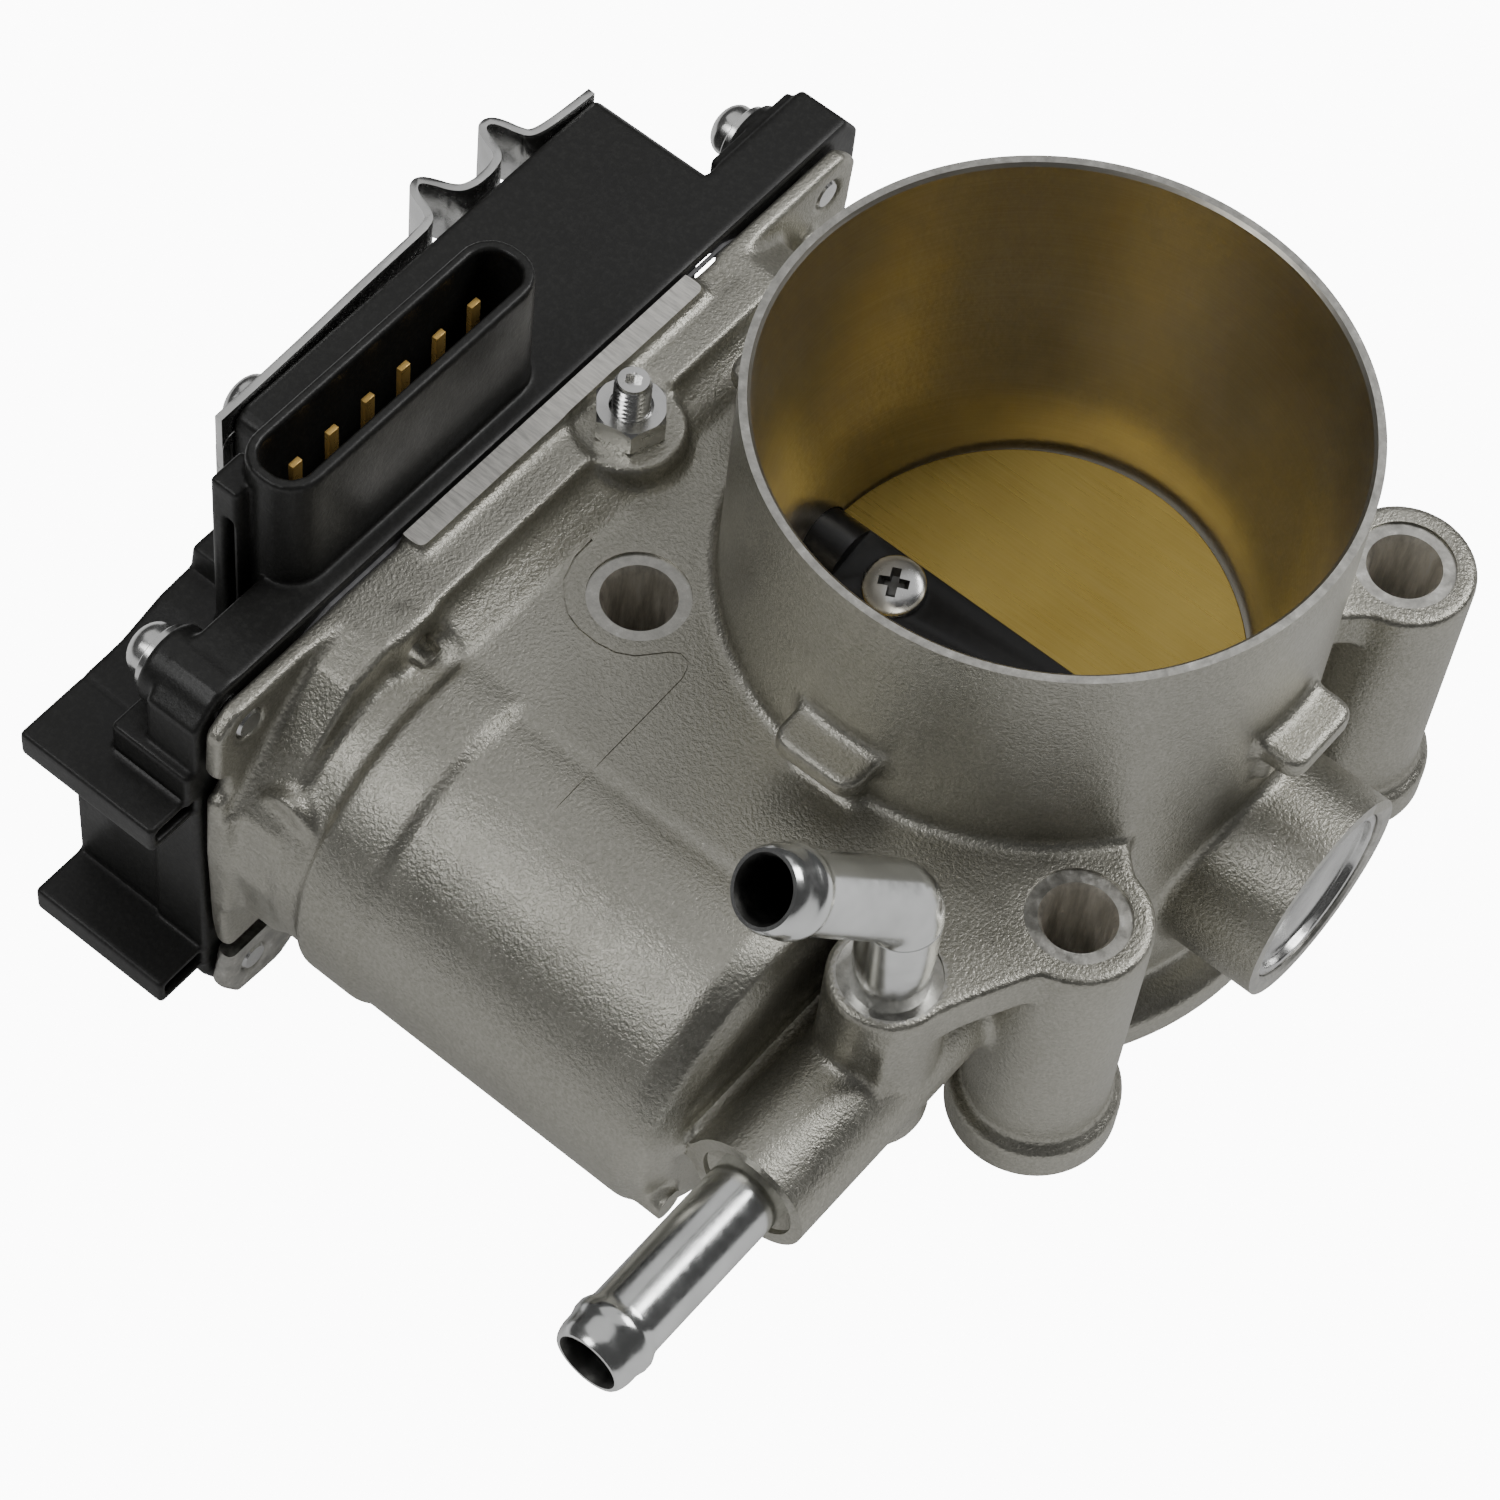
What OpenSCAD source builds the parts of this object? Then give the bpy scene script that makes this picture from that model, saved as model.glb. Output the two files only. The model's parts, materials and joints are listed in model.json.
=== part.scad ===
// Electronic throttle body: cast housing, butterfly plate, gear train, motor and cover.
// Z runs along the bore towards the inlet, X along the throttle shaft, zero at the manifold face.

/* [Throttle bore] */
// Radius of the cylindrical bore around the plate
bore_r = 25; // [20:0.5:32]
// Outer radius of the inlet rim that the duct slides over
rim_r = 31; // [28:0.5:38]
// Inner radius of the inlet at the rim
rim_in_r = 29.8; // [26:0.1:36]
// Height of the inlet rim above the manifold face
rim_z = 65.7; // [50:0.1:80]
// Height of the bolt boss tops
boss_z = 37; // [30:0.5:45]
// Radius of the lower barrel
barrel_r = 30; // [28:0.5:34]

/* [Manifold bolts] */
// Half the spacing of the square bolt pattern
bolt_p = 27.5; // [25:0.5:32]
// Bolt hole radius
bolt_hole_r = 3.5; // [3:0.1:4.5]
// Boss radius at the top
boss_r = 7.6; // [6:0.1:9]
// Foot radius at the manifold face
foot_r = 9; // [8:0.1:11]

/* [Throttle shaft and plate] */
// Height of the throttle shaft above the manifold face
shaft_z = 20; // [18:0.1:24]
// Throttle shaft radius
shaft_r = 4; // [3:0.1:5]
// Plate angle at rest, from square to the bore
rest_a = 14.5; // [6:0.5:30]
// Plate angle when fully closed
closed_a = 6; // [2:0.5:10]
// Plate thickness
plate_t = 1.6; // [1:0.1:2.5]
// Gap between plate edge and bore
plate_gap = 0.15; // [0.1:0.01:0.3]
// Distance of the plate screws from the bore axis
plate_screw_x = 14.5; // [10:0.5:18]

/* [Motor] */
// Motor axis, across the shaft
motor_y = -49.5; // [-55:0.1:-45]
// Motor axis, height
motor_z = 17; // [12:0.1:22]
// Outer radius of the cast motor housing
motor_out_r = 20; // [17:0.1:22]
// Radius of the motor case
can_r = 16.5; // [14:0.1:18]

/* [Gears] */
// Module of the sector gear and small intermediate gear
mod1 = 0.8; // [0.5:0.1:1]
// Module of the large intermediate gear and motor pinion
mod2 = 0.6; // [0.5:0.1:1]
// Teeth on the sector gear, counted round the full circle
sector_n = 48; // [40:1:60]
// Teeth on the small intermediate gear
small_n = 18; // [14:1:24]
// Teeth on the large intermediate gear
large_n = 65; // [50:1:80]
// Teeth on the motor pinion
pinion_n = 13; // [11:1:18]

/* [Cover] */
// Plane of the cover joint, along the shaft
joint_x = -47.5; // [-52:0.5:-44]
// Thickness of the sealing bead in the joint
seal_t = 0.4; // [0.2:0.1:1]
// Height of the machined rail on the joint's top edge
top_z = 42; // [38:0.5:46]
// Outer face of the cover box
box_x = -69.5; // [-75:0.5:-60]
// Height of the connector rim
conn_z = 58; // [50:0.5:65]
// Spacing of the connector pins
pin_pitch = 5.2; // [2.5:0.1:6]
// Height of the screw bosses behind the cover's edge plate
boss_h = 2.2; // [1:0.1:3]

/* [Coolant pipes] */
// Outer radius of both pipes
pipe_r = 4; // [3:0.1:6]
// Inner radius of both pipes
pipe_in_r = 3; // [2:0.1:5]
// Distance of both pipe bosses from the bore axis, along the shaft
pipe_x = 17.8; // [10:0.1:24]
// Height of the straight pipe
pipe_z = 20; // [15:0.5:26]
// End of the straight pipe
pipe_end_y = -87.7; // [-110:0.1:-75]
// Height of the elbow pipe's corner
elbow_z = 50.5; // [46:0.5:56]

/* [Hidden] */
$fn = 64;

alu = [0.58, 0.57, 0.54];
steel = [0.75, 0.76, 0.78];
black = [0.10, 0.10, 0.10];
brass = [0.80, 0.66, 0.30];
copper = [0.75, 0.45, 0.25];
rubber = [0.05, 0.05, 0.05];
nylon = [0.85, 0.83, 0.76];

press_a = 25;        // gear pressure angle
thin = 0.07;         // tooth thinning for backlash
d1 = mod1 * (sector_n + small_n) / 2;
d2 = mod2 * (large_n + pinion_n) / 2;
span = sqrt(pow(motor_y, 2) + pow(motor_z - shaft_z, 2));
line_a = atan2(motor_z - shaft_z, motor_y);
mesh_a = line_a + acos((d1 * d1 + span * span - d2 * d2) / (2 * d1 * span));
inter_y = d1 * cos(mesh_a);
inter_z = shaft_z + d1 * sin(mesh_a);
mesh2_a = atan2(motor_z - inter_z, motor_y - inter_y);

ears = [[-64.5, 37.6], [25, 36.8], [-64.8, -7.3], [25, -7.3]];   // cover screws (y, z)
ear_x = -45.4;       // front face of the screw ears
edge_x = -54.4;      // back face of the cover's edge plate
low_x = -66;         // back face of the cover's low box
low_z = 33.5;        // top of the cover's low box, beside the shroud
floor_x = -42.5;     // floor of the gear recess
motor_x0 = -40.4;    // mouth of the motor chamber
motor_x1 = 9.6;      // closed end of the motor housing
bearing_x = -30;     // inner end of the ball bearing

function arc(cx, cy, r, a0, a1, n = 8) =
    [for (i = [0:n]) [cx + r * cos(a0 + (a1 - a0) * i / n), cy + r * sin(a0 + (a1 - a0) * i / n)]];
// Rounded rectangle between two corners
function rr(x0, y0, x1, y1, r, n = 6) = concat(
    arc(x1 - r, y1 - r, r, 0, 90, n), arc(x0 + r, y1 - r, r, 90, 180, n),
    arc(x0 + r, y0 + r, r, 180, 270, n), arc(x1 - r, y0 + r, r, 270, 360, n));
function involute(a) = tan(a) * 180 / PI - a;
// Points of gear teeth k0 to k1, tooth 0 centred on angle a0
function teeth(m, n, a0, k0, k1) = let (
        rp = m * n / 2, rb = rp * cos(press_a), ra = rp + 0.95 * m, rf = rp - 1.2 * m,
        half = 90 / n - thin / rp * 90 / PI, r0 = max(rb, rf))
    [for (k = [k0:k1]) each let (c = a0 + k * 360 / n) concat(
        [for (i = [-1:5]) let (r = i < 0 ? rf : r0 + (ra - r0) * i / 5, q = max(r, rb),
                h = half + involute(press_a) - involute(acos(rb / q)))
            [r * cos(c - h), r * sin(c - h)]],
        [for (i = [5:-1:-1]) let (r = i < 0 ? rf : r0 + (ra - r0) * i / 5, q = max(r, rb),
                h = half + involute(press_a) - involute(acos(rb / q)))
            [r * cos(c + h), r * sin(c + h)]])];

// Extrude a (y, z) outline along the shaft
module along_x(x0, x1) translate([x0, 0, 0]) rotate([90, 0, 90]) linear_extrude(x1 - x0) children();
module rod_x(x0, x1, y, z, r) translate([x0, y, z]) rotate([0, 90, 0]) cylinder(h = x1 - x0, r = r);
module rod_y(y0, y1, x, z, r) translate([x, y1, z]) rotate([90, 0, 0]) cylinder(h = y1 - y0, r = r);
module rod_z(z0, z1, x, y, r) translate([x, y, z0]) cylinder(h = z1 - z0, r = r);
module block(x0, x1, y0, y1, z0, z1) translate([x0, y0, z0]) cube([x1 - x0, y1 - y0, z1 - z0]);
// Revolve an (x, radius) profile about a line along the shaft
module turned_x(y, z) translate([0, y, z]) rotate([0, 90, 0]) rotate_extrude() children();
module at_bolts() for (x = [-1, 1], y = [-1, 1]) translate([x * bolt_p, y * bolt_p, 0]) children();
module on_shaft(a = rest_a) translate([0, 0, shaft_z]) rotate([a, 0, 0]) children();
module at_ears() for (e = ears) translate([0, e[0], e[1]]) rotate([0, 90, 0]) children();

flange_2d = [[-66.3, 41.1], [-69, 39.2], [-69.3, 32.5], [-67.6, 31.6], [-67.6, 28.4], [-69.3, 27.6],
    [-69.6, 18], [-69.2, 4], [-68.4, -2.5], [-69.6, -8], [-67.4, -11.6], [-61, -12.2],
    [-57, -9.6], [-46, -9.6], [19, -9.6], [22, -12], [28.6, -11.8], [31.2, -8.5],
    [31.2, -3.5], [28.5, 1], [27, 26], [29.2, 32], [29.6, 38.8], [27.4, 41.1]];
wall_2d = [[-51, 41.1], [-56, 39.5], [-62, 33.5], [-67.6, 26], [-69, 17],
    [-67.6, 8], [-62, -0.8], [-58.5, -8.6], [17, -8.6], [20.6, -5], [21.6, 10], [21.6, 26],
    [16, 38], [10, 41.1]];
cavity_2d = [[-57.5, 33], [-62, 29], [-66.4, 21], [-66.4, 12], [-62, 4], [-59, -2], [-56.5, -6.4],
    [14, -6.4], [18.6, -2.5], [19.4, 10], [19.4, 25], [14.5, 35.5], [8, 40.4], [-8, 40.4],
    [-9.5, 39.6], [-49, 39.6], [-54.5, 37.3]];
cover_2d = [[-66, 42], [-69.8, 39], [-70, 27.5], [-69.6, -8], [-67.4, -12], [-57, -12.2],
    [-52, -10.4], [18, -10.4], [21.5, -12.4], [29.6, -12.2], [33, -8.6], [33, 38.6], [30.6, 42]];

module housing() color(alu) {
    difference() {
        union() {
            casting();
            stop_boss();
        }
        rod_z(33, 42, stop_xy[0], stop_xy[1], 2);
    }
}
stop_xy = [-40.3, -14];      // stop screw
stop_top = 40.4;             // seat of the stop nut
// The boss closes the gear recess below the screw, clear of the sector
module stop_boss() {
    rod_z(39, stop_top, stop_xy[0], stop_xy[1], 6);
    intersection() {
        rod_z(30, stop_top, stop_xy[0], stop_xy[1], 6);
        block(-43.5, -30, -22, -6, 29, 41);
    }
}
module at_motor_screws(r = 20) for (a = [82, 262])
    translate([0, motor_y + r * cos(a), motor_z + r * sin(a)]) children();

module casting() difference() {
    union() {
        // neck and barrel, turned about the bore axis
        rotate_extrude($fn = 96) polygon([[20, 0], [35, 0], [35, 3.2], [33.2, 4.6],
            [barrel_r, 6.5], [barrel_r, boss_z], [barrel_r + 0.2, 41.5], [30.6, 55],
            [rim_r, 60], [rim_r, rim_z - 0.4], [rim_r - 0.4, rim_z], [20, rim_z]]);
        // bolt columns with their feet
        at_bolts() {
            cylinder(h = boss_z, r = boss_r);
            cylinder(h = 4.2, r = foot_r);
        }
        for (a = [45:90:315]) rotate(a) {
            block(26, 38, -6.2, 6.2, 32, boss_z - 0.01);
            block(26, 37, -2.2, 2.2, 3, 33);
            block(26, 37, -7.5, 7.5, 0.01, 3.1);
        }
        // duct clamp tabs round the neck
        for (a = [0:90:270]) rotate(a) linear_extrude_tab();
        // bearing boss
        rod_x(20, 40.3, 0, shaft_z, 12);
        block(24, 33, -4, 4, 1, 20);
        // top deck from the gear case past bolt hole A to the pipe boss
        translate([0, 0, 31.5]) linear_extrude(boss_z - 31.5 - 0.02) polygon([[-46, -45.2], [3, -45.2],
            [5.5, -41], [8, -36.5], [12.2, -41], [14, -49.2], [22, -49.4], [25.5, -41.5],
            [29, -34.5], [27, -20], [0, -20], [-20, 4], [-46, 6]]);
        block(-46, -20, 6, 14, 31.5, boss_z - 0.4);
        block(-46, -24, -5, 5, 1, 33);
        // gear case: ear plate, case wall and its sloping top
        along_x(joint_x, ear_x) polygon(flange_2d);
        block(joint_x, -45.1, -40.2, 3.3, 39, top_z);
        along_x(ear_x - 0.5, -43.8) polygon(wall_2d);
        along_x(-43.9, floor_x + 2.6) polygon([for (p = wall_2d) [p[0], min(p[1], 41.2)]]);
        translate([0, 7, 0]) rotate([90, 0, 0]) linear_extrude(51) polygon([[-42, 33], [-36, 33],
            [-36, 37.3], [-38.4, 38.6], [-39.6, 39.6], [-42, 39.8]]);
        rod_x(-41, -25.4, 0, shaft_z, 15);
        // ribs from the case to the barrel
        for (y = [-19, 12]) block(-44, -22, y, y + 3, 2, 33);
        block(-44, -20, 20, 23, 4, 34);
        // motor housing
        rod_x(-46, -38.6, motor_y, motor_z, 18.6);
        rod_x(-39, -34.6, motor_y, motor_z, 19.5);
        rod_x(-35, -28.2, motor_y, motor_z, 20.6);
        turned_x(motor_y, motor_z) polygon([[0, -30], [motor_out_r, -30],
            [motor_out_r, motor_x1 - 4], [motor_out_r - 1.2, motor_x1 - 1.2],
            [motor_out_r - 4, motor_x1], [0, motor_x1]]);
        block(-44, 4, -44, -28, 6, 33);
        // side stub, pads and nubs on the motor housing
        rod_y(-66, -46, -39.8, 27.7, 3.2);
        block(-43, -36.6, -66, -48, 20, 27.7);
        block(-47, -44.6, -69.4, -65.8, 8, 25.4);
        rod_x(5, 11.4, -66, 10.5, 1.7);
        // bosses for the motor screws
        at_motor_screws(20.9) rod_x(-42, -39.4, 0, 0, 3.6);
        // coolant bosses
        rod_z(12.5, boss_z - 0.01, pipe_x, -44.5, 6.2);
        rod_y(-64, -26, pipe_x, pipe_z, 6.8);
        block(pipe_x - 4, pipe_x + 4.4, -50, -26, 20, 33);
        block(9, 15, -53, -47, 14, 18.5);
    }
    // bore and inlet
    translate([0, 0, -1]) cylinder(h = 34, r = bore_r, $fn = 96);
    rotate_extrude($fn = 96) polygon([[0, 32], [bore_r, 32], [27.3, 44], [29, 56],
        [rim_in_r, rim_z - 1], [rim_in_r + 0.2, rim_z + 1], [0, rim_z + 1]]);
    at_bolts() {
        translate([0, 0, -1]) cylinder(h = boss_z + 2, r = bolt_hole_r);
        translate([0, 0, boss_z - 0.35]) cylinder(h = 1, r = 5.35);
    }
    // spaces between bolt column C, D and the barrel
    for (a = [45, 135]) rotate(a) block(31.4, 33.2, -4, 4, 12, 30);
    // shaft line: needle bearing, plug, seals, ball bearing
    rod_x(-45, 39, 0, shaft_z, shaft_r + 0.15);
    rod_x(25.8, 28, 0, shaft_z, 6);
    rod_x(27.6, 41, 0, shaft_z, 6);
    rod_x(37.6, 41, 0, shaft_z, 10);
    rod_x(-28.4, -25.8, 0, shaft_z, 6);
    rod_x(-35, bearing_x, 0, shaft_z, 8);
    rod_x(-45, -34.9, 0, shaft_z, 11.6);
    // gear recess and motor chamber
    along_x(joint_x - 1, floor_x) polygon(cavity_2d);
    rod_x(-48, 6.2, motor_y, motor_z, can_r + 0.3);
    rod_x(-44, -37, inter_y, inter_z, 2);
    rod_z(stop_top, 50, stop_xy[0], stop_xy[1], 6.2);
    at_ears() translate([0, 0, joint_x - 1]) cylinder(h = 4, r = 1.8);
    // stop screw thread
    rod_z(33, 41, stop_xy[0], stop_xy[1], 2);
    // coolant drillings
    rod_y(-65, -53.9, pipe_x, pipe_z, pipe_r);
    rod_y(-65, -63.2, pipe_x, pipe_z, 5.4);
    rod_y(-54, -41.5, pipe_x, pipe_z, 2.8);
    rod_z(26.9, 38, pipe_x, -44.5, pipe_r);
    rod_z(36.2, 38, pipe_x, -44.5, 5.4);
    rod_z(20, 27, pipe_x, -44.5, 2.8);
    at_motor_screws() rod_x(-44, -38, 0, 0, 1.5);
}

module linear_extrude_tab() {
    translate([0, 0, 42.4]) linear_extrude(2.6) polygon([[28, -5], [34.2, -5], [35.2, -4.6],
        [35.8, -3.6], [35.8, 3.6], [35.2, 4.6], [34.2, 5], [28, 5]]);
    translate([0, 0, 37.5]) linear_extrude(5) polygon([[28, -3.6], [32.2, -3.6], [32.2, 3.6], [28, 3.6]]);
}

module ball_bearing() color(steel) turned_x(0, shaft_z) polygon([[shaft_r + 0.04, -34.8],
    [5.4, -34.8], [5.4, -34.4], [6.6, -34.4], [6.6, -34.8], [8, -34.8], [8, bearing_x],
    [6.6, bearing_x], [6.6, -30.4], [5.4, -30.4], [5.4, bearing_x], [shaft_r + 0.04, bearing_x]]);

module needle_bearing() color(steel) turned_x(0, shaft_z) polygon([[shaft_r + 0.04, 27.6],
    [6, 27.6], [6, 37], [4.6, 37], [4.6, 36.4], [shaft_r + 0.04, 36.4]]);

module shaft_seals() color(rubber) for (x = [-28.4, 25.8])
    turned_x(0, shaft_z) polygon([[shaft_r + 0.06, x], [6, x], [6, x + 1.7], [5.2, x + 1.7],
        [5.2, x + 0.7], [shaft_r + 0.06, x + 0.7]]);

module bearing_plug() color(steel) turned_x(0, shaft_z) polygon([[0, 38], [10, 38], [10, 39.9],
    [9, 39.9], [9, 38.9], [0, 38.9]]);

module coolant_pipe_straight() color(steel) translate([pipe_x, 0, pipe_z]) rotate([90, 0, 0])
    rotate_extrude() polygon([[pipe_in_r, 54], [pipe_r, 54], [pipe_r, 82.2], [4.5, 83.4], [4.5, 84.2],
        [4.2, 85.2], [4.2, 86], [3.9, -pipe_end_y], [pipe_in_r, -pipe_end_y]]);

elbow_a = 247.7;     // heading of the elbow's outlet
elbow_turn = 49.1;   // how far the outlet leans from upright
elbow_l = 21.4;      // from the elbow's corner to its outlet
module at_elbow() translate([pipe_x, -44.5, elbow_z]) rotate([0, 0, elbow_a]) rotate([0, elbow_turn, 0])
    children();
module coolant_pipe_elbow() color(steel) difference() {
    union() {
        rod_z(27, elbow_z, pipe_x, -44.5, pipe_r);
        translate([pipe_x, -44.5, elbow_z]) sphere(r = 4.5);
        at_elbow() rotate_extrude() polygon([[0, 0], [pipe_r, 0], [pipe_r, elbow_l - 4.6],
            [4.5, elbow_l - 3.6], [4.5, elbow_l - 2.6], [4.2, elbow_l - 1.6], [3.9, elbow_l], [0, elbow_l]]);
    }
    rod_z(26, elbow_z, pipe_x, -44.5, pipe_in_r);
    translate([pipe_x, -44.5, elbow_z]) sphere(r = 3.4);
    at_elbow() cylinder(h = elbow_l + 1, r = pipe_in_r);
}
module rod_tube(z0, z1) translate([0, 0, z0]) rotate_extrude()
    polygon([[pipe_in_r, 0], [pipe_r, 0], [pipe_r, z1 - z0], [pipe_in_r, z1 - z0]]);
module ring_2d() difference() { circle(r = pipe_r); circle(r = pipe_in_r); }

module stop_screw() color(steel) {
    rod_z(33.2, 47.3, stop_xy[0], stop_xy[1], 2);
    rod_z(47.2, 47.8, stop_xy[0], stop_xy[1], 1.6);
}
module stop_nut() color(steel) difference() {
    translate([stop_xy[0], stop_xy[1], stop_top]) rotate(10) cylinder(h = 3.2, r = 4.04, $fn = 6);
    rod_z(39, 44, stop_xy[0], stop_xy[1], 2);
}

module throttle_shaft() color([0.12, 0.12, 0.12]) on_shaft() difference() {
    rod_x(-55.5, 36.9, 0, 0, shaft_r);
    block(-20.5, 20.5, -5, 5, 1.9, 6);
    block(-24.6, 24.6, -5, 5, -plate_t / 2, plate_t / 2);
    for (x = [-1, 1]) rod_z(-5, 5, x * plate_screw_x, 0, 1.75);
}

module throttle_plate() color(brass) on_shaft() difference() {
    intersection() {
        block(-24.6, 24.6, -26, 26, -plate_t / 2, plate_t / 2);
        rotate([-closed_a, 0, 0]) translate([0, 0, -8])
            cylinder(h = 16, r = bore_r - plate_gap, $fn = 96);
    }
    for (x = [-1, 1]) rod_z(-5, 5, x * plate_screw_x, 0, 1.75);
}

module plate_screws() color(steel) on_shaft() for (x = [-1, 1]) translate([x * plate_screw_x, 0, 0])
    difference() {
        rotate_extrude() polygon([[0, -3.9], [1.5, -3.9], [1.75, -3.6], [1.75, 1.9], [3.4, 1.9],
            [3.4, 2.5], [2.9, 3.1], [1.8, 3.45], [0, 3.55]]);
        for (a = [0, 90]) rotate(a + 25) block(-1.7, 1.7, -0.35, 0.35, 2.6, 4);
    }

sector_x = [-51, -44];
module sector_gear() color(nylon) translate([0, 0, shaft_z]) difference() {
    union() {
        along_x(sector_x[0], sector_x[1]) polygon(concat([[0, 0]], teeth(mod1, sector_n, mesh_a, -12, 3)));
        rod_x(-51, -43.4, 0, 0, 8);
        rod_x(-55.4, -50.9, 0, 0, 5.8);
    }
    rod_x(-60, -40, 0, 0, shaft_r);
    for (a = [118, 146, 174, 202]) rod_x(-60, -40, 12.6 * cos(a), 12.6 * sin(a), 2.2);
}

module sensor_magnet() color([0.3, 0.3, 0.32]) turned_x(0, shaft_z) polygon([[3.4, -61],
    [5.6, -61], [5.6, -55.6], [3.4, -55.6]]);

// Torsion spring as a closed sweep of small rings
coils = 3.6;
seg = 20;
function spring_ring(i) = let (a = 360 * i / seg, x = -41.9 + 5.4 * i / (coils * seg)) [for (j = [0:7])
    let (r = 9.6 + 0.62 * cos(45 * j)) [x + 0.62 * sin(45 * j), r * cos(a), shaft_z + r * sin(a)]];
module return_spring() color(steel) let (n = round(coils * seg)) polyhedron(
    points = [for (i = [0:n]) each spring_ring(i)],
    faces = concat([[for (j = [7:-1:0]) j]],
        [for (i = [0:n - 1], j = [0:7]) each let (a = i * 8 + j, b = i * 8 + (j + 1) % 8)
            [[a, b, b + 8], [a, b + 8, a + 8]]],
        [[for (j = [0:7]) n * 8 + j]]));

module intermediate_gear() color(nylon) translate([0, inter_y, inter_z]) difference() {
    union() {
        along_x(-52.1, -43.2) polygon(teeth(mod1, small_n, mesh_a + 180 + 180 / small_n, 0, small_n - 1));
        along_x(-57, -52) polygon(teeth(mod2, large_n, mesh2_a, 0, large_n - 1));
        rod_x(-57.8, -56.9, 0, 0, 4);
    }
    rod_x(-60, -40, 0, 0, 2.05);
    difference() {
        rod_x(-58, -55.8, 0, 0, 17);
        rod_x(-59, -55, 0, 0, 6);
    }
}

module intermediate_pin() color(steel) rod_x(-61, -37, inter_y, inter_z, 2);

module motor_case() color(steel) turned_x(motor_y, motor_z) polygon([[4.2, 5], [4.2, 4], [15.5, 4],
    [15.5, motor_x0], [can_r, motor_x0], [can_r, 4.6], [can_r - 0.6, 5]]);

module motor_magnets() color([0.25, 0.25, 0.27]) for (s = [0, 180]) translate([0, motor_y, motor_z])
    rotate([s, 0, 0]) along_x(-32, 0) polygon(concat(arc(0, 0, 15.5, 20, 160, 20), arc(0, 0, 12.2, 160, 20, 20)));

module motor_end_plate() color(steel) difference() {
    union() {
        rod_x(floor_x - 0.1, motor_x0, motor_y, motor_z, can_r);
        translate([0, motor_y, motor_z]) along_x(floor_x - 1.5, floor_x)
            polygon(concat(arc(20 * cos(262), 20 * sin(262), 2.3, 172, 352, 12),
                arc(20 * cos(82), 20 * sin(82), 2.3, -8, 172, 12)));
    }
    rod_x(-42.4, -40, motor_y, motor_z, 4.44);
    rod_x(-45, -42, motor_y, motor_z, 1.9);
    at_motor_screws() rod_x(-45, -40, 0, 0, 1.6);
    for (s = [-1, 1]) block(-45, -40, motor_y - 12.4 + s * 3, motor_y - 7.6 + s * 3, motor_z - 0.7, motor_z + 0.7);
}

module motor_screws() color(steel) at_motor_screws() {
    rod_x(floor_x - 3.2, floor_x - 1.5, 0, 0, 2.2);
    rod_x(floor_x - 1.6, -39.8, 0, 0, 1.45);
}

module motor_wave_washer() color(steel) turned_x(motor_y, motor_z) polygon([[9, 5.1], [15, 5.1],
    [15, 6.1], [9, 6.1]]);

module motor_bushes() color(brass) {
    turned_x(motor_y, motor_z) polygon([[1.54, -42.3], [4.4, -42.3], [4.4, -39.6], [1.54, -39.6]]);
    turned_x(motor_y, motor_z) polygon([[1.54, 2], [4.2, 2], [4.2, 5], [1.54, 5]]);
}

module motor_brushes() color([0.2, 0.2, 0.2]) for (s = [-1, 1])
    block(-36.6, -33.2, motor_y - 2, motor_y + 2, motor_z + (s < 0 ? -9.5 : 4.06), motor_z + (s < 0 ? -4.06 : 9.5));

module motor_terminals() color(copper) for (s = [-1, 1])
    block(-46, -39.2, motor_y - 12 + s * 3, motor_y - 8 + s * 3, motor_z - 0.4, motor_z + 0.4);

module motor_shaft() color(steel) rod_x(-58, 5.9, motor_y, motor_z, 1.5);

module motor_armature() color(copper) translate([0, motor_y, motor_z]) difference() {
    union() {
        rod_x(-29, -3, 0, 0, 11.4);
        rod_x(-31.5, -0.5, 0, 0, 8);
    }
    rod_x(-40, 10, 0, 0, 1.5);
    for (a = [0:72:288]) rotate([a, 0, 0]) block(-30, -2, -1.1, 1.1, 7, 12);
}

module motor_commutator() color(copper) translate([0, motor_y, motor_z]) difference() {
    rod_x(-38, -31.6, 0, 0, 4);
    rod_x(-40, -30, 0, 0, 1.5);
    for (a = [0:72:288]) rotate([a, 0, 0]) block(-39, -32.5, -0.25, 0.25, 3, 5);
}

module motor_pinion() color(brass) translate([0, motor_y, motor_z]) difference() {
    along_x(-57.8, -51.2) polygon(teeth(mod2, pinion_n, mesh2_a + 180 + 180 / pinion_n, 0, pinion_n - 1));
    rod_x(-60, -40, 0, 0, 1.5);
}

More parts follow.
